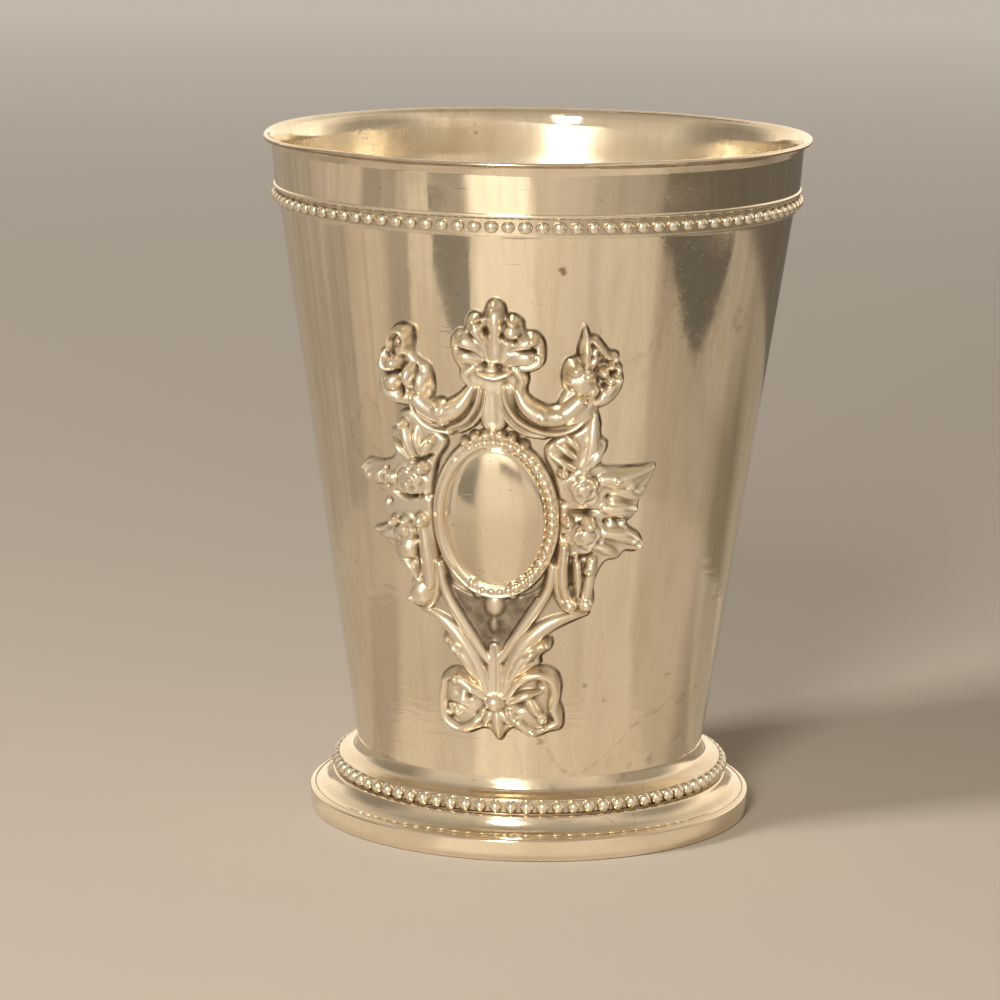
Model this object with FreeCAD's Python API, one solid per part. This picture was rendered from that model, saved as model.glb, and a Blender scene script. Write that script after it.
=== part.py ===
"""Silver-plated julep cup: a tapered drinking beaker with a wired lip, two pearled mouldings,
a hollow stepped foot and a cartouche of scrolls, flowers and ribbon on one side.

The cup stands on z = 0 with +Z up and its axis on the origin. The cartouche faces -Y.
Sizes are in millimetres. One STEP file is written for each physical piece.
Places on the wall are given as (across, height): the arc length from the front line, and z.
"""
import FreeCAD, Part
import math
import os

V = FreeCAD.Vector
OUT_DIR = "parts"

# ---------------------------------------------------------------- driving dimensions
CUP_HEIGHT = 102.0
LIP_DIAMETER = 81.0         # over the rim wire
LIP_OVERHANG = 1.8          # the wire stands out this far past the collar
LIP_DEPTH = 1.4             # from the top down to the crease under the lip
RIM_WIRE_RADIUS = 0.5
COLLAR_DEPTH = 9.3          # from the crease down to the pearled moulding's lower edge
COLLAR_ANGLE = 4.6          # degrees from upright, above the pearled moulding
WALL_ANGLE = 8.4            # degrees from upright, below it
WALL_SHEET = 0.8
FLOOR_UNDERSIDE = 5.0       # the cup's floor stands clear of the table inside the foot
FLOOR_CORNER = 2.0          # outside bend between floor and wall

RIM_STRIP_HEIGHT = 3.1
RIM_STRIP_THICKNESS = 0.3
RIM_LINE_HEIGHT = 0.5       # raised line along the strip's upper edge
RIM_LINE_THICKNESS = 0.6
RIM_PEARL_RADIUS = 0.85
RIM_PEARL_RISE = 0.9        # how far the pearls stand out of the strip's face
RIM_PEARL_PITCH = 2.42

FOOT_SHEET = 0.8
FOOT_TOP_LEVEL = 8.3        # where the foot meets the wall
FOOT_TOP_WIDTH = 2.6        # shallow hollow from the wall out to the pearls
FOOT_TOP_FALL = 0.4
FOOT_STRIP_THICKNESS = 0.6
FOOT_PEARL_RADIUS = 0.88
FOOT_PEARL_RISE = 1.15
FOOT_PEARL_PITCH = 2.29
FOOT_GROOVE_HEIGHT = 1.2    # plain drum between the pearls and the bead line below
FOOT_LINE_RADIUS = 0.35     # small half-round line at the drum's foot
FOOT_LEDGE_WIDTH = 2.9      # hollow ledge from that line out to the band's rounded edge
FOOT_LEDGE_FALL = 1.1
FOOT_LEDGE_HOLLOW = 0.3     # how far the ledge dips below a straight slope
FOOT_EDGE_RADIUS = 0.85     # rounded edge over the upright band
FOOT_HEM_WIDTH = 1.8        # edge turned in underneath, which the cup stands on

CARTOUCHE_LEVEL = 50.5      # height of the oval boss's centre
BOSS_HALF_WIDTH = 7.3
BOSS_HALF_HEIGHT = 10.3
BOSS_RISE = 1.8
BOSS_EDGE_RISE = 0.4
FRAME_WIDTH = 1.3           # flat band round the boss, which carries its pearls
FRAME_RISE = 0.55
FRAME_PEARL_RADIUS = 0.62
FRAME_PEARL_RISE = 0.5
FRAME_PEARL_SINK = 0.02     # lets the pearls' flat backs meet the curved band
FRAME_PEARL_PITCH = 1.24
KNOB_RADIUS = 0.95          # larger pearl at the top of the oval
SPRAY_REACH_RIGHT = 1.0     # length of the leaves beside the oval, right and left
SPRAY_REACH_LEFT = 0.87
SEAT_SINK = 0.5             # relief starts this far inside the wall, then is cut to seat on it
SMALLEST_SOLID = 0.2        # cubic millimetres: a crumb left by fitting is dropped under this

TAPER = math.tan(math.radians(WALL_ANGLE))
COLLAR_TAPER = math.tan(math.radians(COLLAR_ANGLE))
AXIS_BASE = V(0, 0, 0)
AXIS_UP = V(0, 0, 1)
CREASE_LEVEL = CUP_HEIGHT - LIP_DEPTH
CREASE_RADIUS = LIP_DIAMETER / 2 - LIP_OVERHANG
COLLAR_FOOT_LEVEL = CREASE_LEVEL - COLLAR_DEPTH
WIRE_RING_RADIUS = LIP_DIAMETER / 2 - RIM_WIRE_RADIUS
WIRE_LEVEL = CUP_HEIGHT - RIM_WIRE_RADIUS


# ---------------------------------------------------------------- shared geometry
def wall_radius(z):
    """Outside radius of the wall at height z, collar included."""
    above = max(z - COLLAR_FOOT_LEVEL, 0)
    below = max(COLLAR_FOOT_LEVEL - z, 0)
    collar_foot_radius = CREASE_RADIUS - COLLAR_DEPTH * COLLAR_TAPER
    return collar_foot_radius + above * COLLAR_TAPER - below * TAPER


def arc_points(centre, radius, start, end, steps=2):
    """(radius, height) pairs along an arc, from start to end in degrees, both ends included."""
    angles = [math.radians(start + (end - start) * k / steps) for k in range(steps + 1)]
    return [(centre[0] + radius * math.cos(a), centre[1] + radius * math.sin(a)) for a in angles]


def revolved(points):
    """Solid turned about the cup's axis from an outline of (radius, height) pairs."""
    corners = [V(radius, 0, z) for radius, z in points]
    outline = Part.makePolygon(corners + corners[:1])
    return Part.Face(outline).revolve(AXIS_BASE, AXIS_UP, 360)


def skinned(rings):
    """Closed solid of flat triangles through rings of equally many points, fanned shut at both ends."""
    triangles = []
    count = len(rings[0])
    for low, high in zip(rings, rings[1:]):
        for k in range(count):
            after = (k + 1) % count
            triangles += [(low[k], low[after], high[after]), (low[k], high[after], high[k])]
    for ring, forward in ((rings[0], False), (rings[-1], True)):
        middle = sum(ring, V()) / count
        for k in range(count):
            pair = (ring[k], ring[(k + 1) % count])
            triangles.append((middle,) + (pair if forward else pair[::-1]))
    faces = [Part.Face(Part.makePolygon(list(corners) + [corners[0]])) for corners in triangles]
    shell = Part.makeShell(faces)
    shell.sewShape()
    solid = Part.makeSolid(shell)
    if solid.Volume < 0:
        solid.reverse()
    return solid


def patterned(shape, count):
    """Copies of a shape spaced evenly round the cup's axis."""
    copies = []
    for k in range(count):
        copy = shape.copy()
        copy.rotate(AXIS_BASE, AXIS_UP, 360.0 * k / count)
        copies.append(copy)
    return copies


def export(name, shape):
    solids = shape.Solids
    result = solids[0] if len(solids) == 1 else Part.makeCompound(solids)
    if not solids or not result.isValid():
        raise ValueError(name + " is not a valid solid")
    result.exportStep(os.path.join(OUT_DIR, name + ".step"))
    print("%-22s solids %3d  volume %9.2f" % (name, len(solids), result.Volume))


# ---------------------------------------------------------------- lip and body
def make_rim_wire():
    """Round wire along the edge of the flared lip."""
    return revolved(arc_points((WIRE_RING_RADIUS, WIRE_LEVEL), RIM_WIRE_RADIUS, 0, 315, 7))


def make_cup_body(rim_wire):
    """Drawn shell, floor and wall in one piece, creased and turned out at the lip."""
    floor_top = FLOOR_UNDERSIDE + WALL_SHEET
    corner_level = FLOOR_UNDERSIDE + FLOOR_CORNER
    corner_radius = wall_radius(corner_level) - FLOOR_CORNER
    bend_level = CREASE_LEVEL - WALL_SHEET
    half_wire = 0.7 * RIM_WIRE_RADIUS
    outside = [(0, FLOOR_UNDERSIDE)]
    outside += arc_points((corner_radius, corner_level), FLOOR_CORNER, -90, 0)
    outside += [
        (wall_radius(COLLAR_FOOT_LEVEL), COLLAR_FOOT_LEVEL),
        (CREASE_RADIUS, CREASE_LEVEL),
        (WIRE_RING_RADIUS, WIRE_LEVEL - half_wire),
    ]
    inside = [
        (WIRE_RING_RADIUS, WIRE_LEVEL + half_wire),
        (CREASE_RADIUS, CREASE_LEVEL + WALL_SHEET),
        (wall_radius(bend_level) - WALL_SHEET, bend_level),
        (wall_radius(COLLAR_FOOT_LEVEL) - WALL_SHEET, COLLAR_FOOT_LEVEL),
    ]
    inside += arc_points((corner_radius, corner_level), FLOOR_CORNER - WALL_SHEET, 0, -90)
    inside += [(0, floor_top)]
    return revolved(outside + inside).cut(rim_wire)


# ---------------------------------------------------------------- pearled mouldings
# Rings of a dome, from its foot up: (share of radius, share of rise).
SMALL_PEARL = ((1.0, 0.0), (0.6, 1.0))
PEARL = ((0.92, 0.0), (0.88, 0.6), (0.45, 1.0))
DOME = ((0.9, 0.0), (1.0, 0.3), (0.8, 0.7), (0.4, 1.0))


def domed(place, across, out, radius, rise, sides, rings, sink=0):
    """Low-sided dome at a place, facing out; sink is how far it goes on behind the place."""
    up = out.cross(across)
    spokes = []
    for k in range(sides):
        angle = 2 * math.pi * (k + 0.5) / sides
        spokes.append(across * math.cos(angle) + up * math.sin(angle))
    levels = [(rings[0][0], -sink)] if sink else []
    levels += [(size, lift * rise) for size, lift in rings]
    return skinned([
        [place + out * lift + spoke * (radius * size) for spoke in spokes]
        for size, lift in levels
    ])


def pearl_row(face_radius, level, radius, rise, pitch):
    """Pearls spaced evenly round a strip, standing on the strip's face."""
    sagitta = radius ** 2 / (2 * face_radius)
    pearl = domed(V(face_radius - sagitta, 0, level), V(0, 1, 0), V(1, 0, 0), radius, rise, 6, PEARL)
    return patterned(pearl, round(2 * math.pi * face_radius / pitch))


def make_rim_moulding():
    """Pearled strip with a raised upper line, soldered round the wall under the collar."""
    low = COLLAR_FOOT_LEVEL
    high = low + RIM_STRIP_HEIGHT
    line_foot = high - RIM_LINE_HEIGHT
    face = wall_radius(high) + RIM_STRIP_THICKNESS
    line_face = wall_radius(high) + RIM_LINE_THICKNESS
    strip = revolved([
        (wall_radius(low), low),
        (face, low),
        (face, line_foot),
        (line_face, high - RIM_LINE_HEIGHT / 2),
        (wall_radius(high), high),
    ])
    pearls = pearl_row(face, (low + line_foot) / 2, RIM_PEARL_RADIUS, RIM_PEARL_RISE, RIM_PEARL_PITCH)
    return Part.makeCompound([strip] + pearls)


# ---------------------------------------------------------------- foot
SEAT_RADIUS = wall_radius(FOOT_TOP_LEVEL) + FOOT_TOP_WIDTH
SEAT_HIGH = FOOT_TOP_LEVEL - FOOT_TOP_FALL
SEAT_LOW = SEAT_HIGH - 2 * FOOT_PEARL_RADIUS
DRUM_RADIUS = SEAT_RADIUS + FOOT_STRIP_THICKNESS + 0.4
DRUM_LOW = SEAT_LOW - FOOT_GROOVE_HEIGHT
LEDGE_HIGH = DRUM_LOW - 2 * FOOT_LINE_RADIUS
LEDGE_RADIUS = DRUM_RADIUS + FOOT_LINE_RADIUS + FOOT_LEDGE_WIDTH
LEDGE_LOW = LEDGE_HIGH - FOOT_LEDGE_FALL
FOOT_RADIUS = LEDGE_RADIUS + FOOT_EDGE_RADIUS


def make_foot_shell():
    """Hollow stepped foot spun from sheet and soldered round the bottom of the wall."""
    sheet = FOOT_SHEET
    line_centre = (DRUM_RADIUS + FOOT_LINE_RADIUS, DRUM_LOW - FOOT_LINE_RADIUS)
    hollow_middle = ((LEDGE_RADIUS + line_centre[0]) / 2, (LEDGE_LOW + LEDGE_HIGH) / 2 - FOOT_LEDGE_HOLLOW)
    outside = [(FOOT_RADIUS, 0)]
    outside += arc_points((LEDGE_RADIUS, LEDGE_LOW - FOOT_EDGE_RADIUS), FOOT_EDGE_RADIUS, 0, 90)
    outside += [hollow_middle]
    outside += arc_points(line_centre, FOOT_LINE_RADIUS, -90, 90)
    outside += [
        (DRUM_RADIUS, DRUM_LOW),
        (DRUM_RADIUS, SEAT_LOW),
        (SEAT_RADIUS, SEAT_LOW),
        (SEAT_RADIUS, SEAT_HIGH),
        (wall_radius(FOOT_TOP_LEVEL), FOOT_TOP_LEVEL),
    ]
    inside = [
        (wall_radius(SEAT_LOW - sheet), SEAT_LOW - sheet),
        (DRUM_RADIUS - sheet, SEAT_LOW - sheet),
        (DRUM_RADIUS - sheet, LEDGE_HIGH - sheet),
        (FOOT_RADIUS - sheet, LEDGE_LOW - sheet),
        (FOOT_RADIUS - sheet, sheet),
        (FOOT_RADIUS - FOOT_HEM_WIDTH, sheet),
        (FOOT_RADIUS - FOOT_HEM_WIDTH, 0),
    ]
    return revolved(outside + inside)


def make_foot_moulding():
    """Pearled strip seated in the step round the top of the foot."""
    face = SEAT_RADIUS + FOOT_STRIP_THICKNESS
    strip = revolved([(SEAT_RADIUS, SEAT_LOW), (face, SEAT_LOW), (face, SEAT_HIGH), (SEAT_RADIUS, SEAT_HIGH)])
    pearls = pearl_row(face, (SEAT_LOW + SEAT_HIGH) / 2, FOOT_PEARL_RADIUS, FOOT_PEARL_RISE, FOOT_PEARL_PITCH)
    return Part.makeCompound([strip] + pearls)


# ---------------------------------------------------------------- relief on the wall
# Cross-sections of a relief strip, from edge to edge: (share of half width, share of rise).
RIDGED = ((-1, 0.25), (0, 1), (1, 0.25))
ROUNDED = ((-1, 0.3), (-0.55, 0.88), (0.55, 0.88), (1, 0.3))
CHANNELLED = ((-1, 0.5), (-0.7, 1), (0, 0.5), (0.7, 1), (1, 0.5))
FLAT = ((-1, 0.6), (-0.85, 1), (0.85, 1), (1, 0.6))


def wall_frame(across, z):
    """The point on the wall at a place, and the direction straight out of the wall there."""
    angle = across / wall_radius(z)
    radial = V(math.sin(angle), -math.cos(angle), 0)
    out = (radial - AXIS_UP * TAPER).normalize()
    return radial * wall_radius(z) + AXIS_UP * z, out


def swell(start, peak, end):
    """Size along a strip as a share of its full size: 1 at the peak, start and end at its ends."""
    def share(t):
        end_share, run = (start, t / peak) if t < peak else (end, (1 - t) / (1 - peak))
        return end_share + (1 - end_share) * math.sin(math.pi / 2 * run)
    return share


LEAF = swell(0.5, 0.4, 0.1)     # widest near the middle, pointed
LOBE = swell(0.35, 0.75, 0.6)   # widest near a blunt end
BAND = swell(0.8, 0.5, 0.8)     # nearly even


def relief_strip(path, half_width, rise, section, share, steps=5):
    """Solid strip along a path of places on the wall, with a given cross-section."""
    curve = Part.BSplineCurve()
    curve.interpolate([V(across, z, 0) for across, z in path])
    rings = []
    for k in range(steps):
        t = k / (steps - 1)
        parameter = curve.FirstParameter + t * (curve.LastParameter - curve.FirstParameter)
        here = curve.value(parameter)
        ahead = here + V(*curve.tangent(parameter)[0]) * 0.1
        place, out = wall_frame(here.x, here.y)
        sideways = (wall_frame(ahead.x, ahead.y)[0] - place).cross(out).normalize()
        width = half_width * share(t)
        height = rise * (0.4 + 0.6 * share(t))
        ring = [place + sideways * (width * a) + out * (height * b) for a, b in section]
        ring += [place + sideways * (width * a) - out * SEAT_SINK for a in (1, -1)]
        rings.append(ring)
    return skinned(rings)


def relief_dome(place, radius, rise, sides=8):
    point, out = wall_frame(*place)
    return domed(point, AXIS_UP.cross(out).normalize(), out, radius, rise, sides, DOME, SEAT_SINK)


def blossom(place, radius, rise, petals=5):
    """Open flower: a lobed cup of petals with a hollow middle and a round heart."""
    point, out = wall_frame(*place)
    across = AXIS_UP.cross(out).normalize()
    up = out.cross(across)
    rings = []
    for size, lift in ((1.0, -SEAT_SINK), (1.0, 0.35 * rise), (0.78, 0.85 * rise), (0.42, 0.5 * rise)):
        ring = []
        for k in range(2 * petals):
            angle = math.pi * k / petals
            reach = radius * size * (1.0 if k % 2 else 0.8)
            ring.append(point + out * lift + (across * math.cos(angle) + up * math.sin(angle)) * reach)
        rings.append(ring)
    return skinned(rings).fuse(relief_dome(place, 0.36 * radius, rise, 5))


def mirrored(path, side):
    return [(side * across, z) for across, z in path]


def wall_core():
    """Everything inside the wall's outer face, below the collar."""
    return Part.makeCone(wall_radius(0), wall_radius(COLLAR_FOOT_LEVEL), COLLAR_FOOT_LEVEL)


def seated(parts, neighbours):
    """Joins the parts of one casting, and fits it to the wall and to the castings already in place."""
    casting = parts[0].multiFuse(parts[1:]) if len(parts) > 1 else parts[0]
    near = [other for other in neighbours if other.BoundBox.intersect(casting.BoundBox)]
    casting = casting.cut([wall_core()] + near)
    solids = [solid for solid in casting.Solids if solid.Volume > SMALLEST_SOLID]
    return solids[0] if len(solids) == 1 else Part.makeCompound(solids)


# ---------------------------------------------------------------- cartouche
FRAME_HALF_WIDTH = BOSS_HALF_WIDTH + FRAME_WIDTH
FRAME_HALF_HEIGHT = BOSS_HALF_HEIGHT + FRAME_WIDTH
FRAME_TOP = CARTOUCHE_LEVEL + FRAME_HALF_HEIGHT
FRAME_BOTTOM = CARTOUCHE_LEVEL - FRAME_HALF_HEIGHT


def oval_ring(size, lift, sides=24):
    """Points round an oval on the wall, larger than the boss by size and lifted off the wall."""
    ring = []
    for k in range(sides):
        angle = 2 * math.pi * k / sides
        across = (BOSS_HALF_WIDTH + size) * math.cos(angle)
        place, out = wall_frame(across, CARTOUCHE_LEVEL + (BOSS_HALF_HEIGHT + size) * math.sin(angle))
        ring.append(place + out * lift)
    return ring


def make_oval_boss():
    """Smooth blank boss that swells from the wall."""
    middle = min(BOSS_HALF_WIDTH, BOSS_HALF_HEIGHT)
    rings = [oval_ring(0, -SEAT_SINK)]
    for share in (0.0, 0.15, 0.4, 0.75):
        lift = BOSS_EDGE_RISE + (BOSS_RISE - BOSS_EDGE_RISE) * math.sin(math.pi / 2 * share ** 0.6)
        rings.append(oval_ring(-share * middle, lift))
    return seated([skinned(rings)], [])


def make_knob():
    """Larger pearl that stands at the top of the oval, between its frame and the crest."""
    return relief_dome((0, FRAME_TOP + 0.3), KNOB_RADIUS, FRAME_RISE + KNOB_RADIUS)


def make_oval_frame():
    """Flat band round the boss with a row of small pearls and the knob."""
    band = seated([skinned([oval_ring(FRAME_WIDTH, -SEAT_SINK), oval_ring(FRAME_WIDTH, FRAME_RISE)])],
                  [skinned([oval_ring(0, -2 * SEAT_SINK), oval_ring(0, 2 * FRAME_RISE)])])
    row_width = BOSS_HALF_WIDTH + FRAME_WIDTH / 2
    row_height = BOSS_HALF_HEIGHT + FRAME_WIDTH / 2
    perimeter = math.pi * math.sqrt(2 * (row_width ** 2 + row_height ** 2))
    count = round(perimeter / FRAME_PEARL_PITCH)
    pearls = []
    for k in range(1, count):
        angle = 2 * math.pi * k / count
        point, out = wall_frame(row_width * math.sin(angle), CARTOUCHE_LEVEL + row_height * math.cos(angle))
        across = AXIS_UP.cross(out).normalize()
        point += out * (FRAME_RISE - FRAME_PEARL_SINK)
        pearls.append(domed(point, across, out, FRAME_PEARL_RADIUS, FRAME_PEARL_RISE, 6, SMALL_PEARL))
    return Part.makeCompound([band, seated([make_knob()], [band])] + pearls)


def make_crest(neighbours):
    """Palmette of seven lobes on a banded neck, with a web down to the oval."""
    root = FRAME_TOP + 8.6
    parts = [relief_strip([(0, root), (0.4, root + 11.4)], 1.35, 2.3, ROUNDED, LOBE)]
    lobes = ((3.1, 8.5, 1.35, 2.3), (6.1, 5.4, 1.6, 2.5), (6.2, 1.9, 1.5, 2.0))
    for side in (1, -1):
        for out, up, half_width, rise in lobes:
            path = mirrored([(0.5, root + 0.4), (0.55 * out, root + 0.62 * up), (out, root + up)], side)
            parts.append(relief_strip(path, half_width, rise, ROUNDED, LOBE))
        drop = [(2.6, root + 1.2), (4.0, root - 0.2), (4.0, root - 2.4)]
        parts.append(relief_strip(mirrored(drop, side), 0.8, 1.6, ROUNDED, BAND))
    parts.append(relief_dome((0, root + 3.4), 3.4, 1.6))
    parts.append(relief_strip([(-2.5, root), (0, root + 0.3), (2.5, root)], 0.7, 2.1, ROUNDED, BAND))
    parts.append(relief_strip([(0, root), (0, FRAME_TOP + 1.2)], 2.4, 0.7, ROUNDED, swell(0.5, 0.9, 0.9)))
    return seated(parts, neighbours)


ARM_END = (13.4, FRAME_TOP + 6.4)


def make_scroll_arm(side, neighbours):
    """Channelled scroll from the crest's neck, down and out to the bud."""
    path = [
        (1.5, FRAME_TOP + 8.4),
        (3.2, FRAME_TOP + 4.4),
        (7.2, FRAME_TOP + 2.9),
        (11.0, FRAME_TOP + 4.0),
        ARM_END,
    ]
    scroll = relief_strip(mirrored(path, side), 1.95, 2.3, CHANNELLED, swell(0.45, 0.6, 0.9), 9)
    return seated([scroll], neighbours)


def make_bud(side, neighbours):
    """Bursting acanthus bud at the end of a scroll arm: a round heart and four tongues."""
    across, level = ARM_END
    heart = relief_dome((side * across, level + 2.2), 3.4, 2.9)
    tongues = (
        ((-0.6, 2.6), (-0.9, 5.6), (-0.3, 9.2)),
        ((0.4, 3.2), (1.3, 6.2), (2.3, 7.4)),
        ((1.4, 3.0), (2.8, 4.9), (3.9, 5.6)),
        ((1.6, 0.8), (3.4, 1.4), (4.4, 3.4)),
        ((-1.6, 0.6), (-3.2, 2.4), (-3.2, 5.0)),
    )
    parts = [heart, relief_dome((side * (across + 1.8), level + 3.2), 2.9, 1.8)]
    for tongue in tongues:
        path = mirrored([(across + a, level + b) for a, b in tongue], side)
        parts.append(relief_strip(path, 1.5, 2.5, RIDGED, LEAF))
    return seated(parts, neighbours)


def make_spray(side, reach, neighbours):
    """Two open flowers beside the oval with leaves reaching out, up and down."""
    inner = FRAME_HALF_WIDTH + 4.1
    roses = ((inner, CARTOUCHE_LEVEL + 4.1), (inner + 0.5, CARTOUCHE_LEVEL - 1.8))
    parts = [blossom((side * across, z), 3.3, 2.7) for across, z in roses]
    plate = [(inner - 0.4, CARTOUCHE_LEVEL + 10.4), (inner - 0.9, CARTOUCHE_LEVEL + 4.0),
             (inner - 0.9, CARTOUCHE_LEVEL - 4.0), (inner - 1.2, CARTOUCHE_LEVEL - 13.0)]
    parts.append(relief_strip(mirrored(plate, side), 3.1, 0.9, FLAT, swell(0.25, 0.5, 0.45), 9))
    leaves = (
        ((1.2, 4.2), (5.6, 5.2), (10.4, 6.9), 2.1),
        ((1.2, 2.6), (4.6, 1.8), (7.8, 0.9), 1.6),
        ((1.2, -1.8), (5.0, -2.7), (8.4, -4.2), 1.5),
        ((1.2, -3.2), (3.4, -4.8), (5.2, -6.2), 1.2),
        ((0.0, 6.2), (1.4, 9.4), (3.2, 11.5), 1.6),
        ((0.9, 7.6), (2.0, 11.4), (3.2, 14.6), 1.3),
        ((-0.6, 6.2), (-1.8, 8.6), (-3.4, 10.2), 1.3),
    )
    for start, middle, tip, half_width in leaves:
        path = [(inner + reach * a, CARTOUCHE_LEVEL + b) for a, b in (start, middle, tip)]
        parts.append(relief_strip(mirrored(path, side), half_width, 1.9, RIDGED, LEAF))
    bud = [(inner - drift, CARTOUCHE_LEVEL - drop) for drift, drop in ((0, 4.0), (0.6, 9.2), (1.1, 13.8))]
    parts.append(relief_strip(mirrored(bud, side), 2.2, 2.4, ROUNDED, LOBE))
    return seated(parts, neighbours)


KNOT_LEVEL = FRAME_BOTTOM - 16.0


def make_strapwork(neighbours):
    """Two channelled straps that meet in a V under the oval, with plain arms outside them."""
    stem_top = FRAME_BOTTOM - 8.6
    parts = [relief_strip([(0, stem_top + 1.4), (0, KNOT_LEVEL + 1.0)], 1.5, 1.5, CHANNELLED, BAND)]
    pad = [(0, FRAME_BOTTOM + 1.0), (0, FRAME_BOTTOM - 7.5)]
    parts.append(relief_strip(pad, 4.6, 0.35, ROUNDED, swell(1.0, 0.1, 0.2)))
    edge = FRAME_HALF_WIDTH
    for side in (1, -1):
        strap = [(0.9 * edge, FRAME_BOTTOM + 5.2), (0.68 * edge, FRAME_BOTTOM - 1.6), (0.6, stem_top)]
        arm = [(edge + 4.2, FRAME_BOTTOM - 2.4), (edge - 1.4, FRAME_BOTTOM - 5.0), (0.9, stem_top - 1.4)]
        parts.append(relief_strip(mirrored(strap, side), 1.25, 1.5, CHANNELLED, BAND, 7))
        parts.append(relief_strip(mirrored(arm, side), 1.2, 1.1, ROUNDED, swell(0.3, 0.6, 0.6), 7))
    return seated(parts, neighbours)


def make_lower_leaf(side, neighbours):
    """Pair of curling leaves that spring from the stem above the bow."""
    root = FRAME_BOTTOM - 10.8
    upper = [(1.3, root), (3.4, root + 3.0), (7.3, root + 5.0)]
    lower = [(1.5, root - 0.6), (4.0, root + 1.5), (6.3, root + 0.9)]
    parts = [
        relief_strip(mirrored(upper, side), 1.25, 1.9, ROUNDED, swell(0.5, 0.6, 0.4)),
        relief_strip(mirrored(lower, side), 1.1, 1.5, RIDGED, LEAF),
    ]
    return seated(parts, neighbours)


def make_bow(neighbours):
    """Ribbon bow: two open loops, a round knot and three short tails."""
    loop = ((1.0, 0.4), (3.2, 3.7), (6.4, 4.0), (7.9, 0.8), (7.5, -2.8), (4.6, -3.6), (1.6, -1.2))
    parts = [relief_dome((0, KNOT_LEVEL), 1.8, 2.3)]
    for side in (1, -1):
        path = mirrored([(a, KNOT_LEVEL + b) for a, b in loop], side)
        parts.append(relief_strip(path, 1.4, 2.0, CHANNELLED, swell(0.7, 0.45, 0.7), 13))
        parts.append(relief_dome((side * 5.0, KNOT_LEVEL + 0.2), 3.4, 1.0))
    for across, drop in ((0.3, 6.0), (-2.0, 4.4), (2.1, 4.6)):
        path = [(0.35 * across, KNOT_LEVEL - 1.0), (across, KNOT_LEVEL - drop)]
        parts.append(relief_strip(path, 0.95, 1.5, RIDGED, swell(0.6, 0.5, 0.3)))
    return seated(parts, neighbours)


def make_cartouche():
    """The castings in the order they are soldered on, each fitted to those before it."""
    castings = {"oval_boss": make_oval_boss(), "oval_pearl_frame": make_oval_frame()}
    outline = skinned([oval_ring(FRAME_WIDTH, -2 * SEAT_SINK), oval_ring(FRAME_WIDTH, 2 * BOSS_RISE)])
    fitted = [outline, make_knob()]

    def add(name, maker, *arguments):
        castings[name] = maker(*arguments, fitted)
        fitted.append(castings[name])

    add("crest_palmette", make_crest)
    add("strapwork", make_strapwork)
    for name, side, reach in (("right", 1, SPRAY_REACH_RIGHT), ("left", -1, SPRAY_REACH_LEFT)):
        add("scroll_arm_" + name, make_scroll_arm, side)
        add("acanthus_bud_" + name, make_bud, side)
        add("flower_spray_" + name, make_spray, side, reach)
        add("lower_leaf_" + name, make_lower_leaf, side)
    add("ribbon_bow", make_bow)
    return castings


def main():
    os.makedirs(OUT_DIR, exist_ok=True)
    rim_wire = make_rim_wire()
    export("rim_wire", rim_wire)
    export("cup_body", make_cup_body(rim_wire))
    export("rim_pearl_moulding", make_rim_moulding())
    export("foot_shell", make_foot_shell())
    export("foot_pearl_moulding", make_foot_moulding())
    for name, casting in make_cartouche().items():
        export(name, casting)


main()
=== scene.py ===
"""Looks of the silver-plated julep cup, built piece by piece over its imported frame.

Sizes are in millimetres until a mesh is made, and +Z is up. The cartouche faces -Y.
A place on the wall is (across, height): the arc length from the front line, and z.
"""
import math

import bmesh
import bpy
import numpy as np
from mathutils import Matrix, Vector


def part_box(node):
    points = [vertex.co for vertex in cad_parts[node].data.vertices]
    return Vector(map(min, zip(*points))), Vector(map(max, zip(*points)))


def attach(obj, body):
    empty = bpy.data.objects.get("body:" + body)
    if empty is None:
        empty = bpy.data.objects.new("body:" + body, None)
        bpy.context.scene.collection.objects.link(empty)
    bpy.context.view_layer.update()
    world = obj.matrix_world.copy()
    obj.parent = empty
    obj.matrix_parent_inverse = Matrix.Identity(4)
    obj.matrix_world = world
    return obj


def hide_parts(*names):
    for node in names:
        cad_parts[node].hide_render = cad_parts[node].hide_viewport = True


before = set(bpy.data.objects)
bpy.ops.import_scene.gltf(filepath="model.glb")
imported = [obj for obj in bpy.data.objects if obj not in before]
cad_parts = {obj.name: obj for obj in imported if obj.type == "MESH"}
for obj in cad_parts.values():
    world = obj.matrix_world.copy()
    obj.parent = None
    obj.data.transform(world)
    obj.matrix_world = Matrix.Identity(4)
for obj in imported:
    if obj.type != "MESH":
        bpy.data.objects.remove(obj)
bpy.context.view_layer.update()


scene = bpy.context.scene
scene.view_settings.view_transform = "Standard"

# ---------------------------------------------------------------- camera
# A long lens a little above the lip and just right of the cartouche's middle, swung and tilted
# by less than a degree. The place was fitted to the ellipses of the lip, beading and foot.
eye_distance, eye_height = 587.0, 161.97
swing, dip, tilt, round_the_cup = -0.0084, 0.194, 0.0129, math.radians(9.5)
ahead = Vector((math.sin(swing) * math.cos(dip), math.cos(swing) * math.cos(dip), -math.sin(dip)))
level_right = Vector((math.cos(swing), -math.sin(swing), 0))
level_up = level_right.cross(ahead)
eye_right = math.cos(tilt) * level_right + math.sin(tilt) * level_up
eye_up = -math.sin(tilt) * level_right + math.cos(tilt) * level_up
lens = bpy.data.cameras.new("photo_camera")
lens.sensor_width = 36
lens.lens = 143.6
lens.clip_end = 20
photo_camera = bpy.data.objects.new("photo_camera", lens)
pose = Matrix((eye_right, eye_up, -ahead)).transposed().to_4x4()
pose.translation = Vector((0, -eye_distance, eye_height)) / 1000
photo_camera.matrix_world = Matrix.Rotation(round_the_cup, 4, "Z") @ pose
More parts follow.
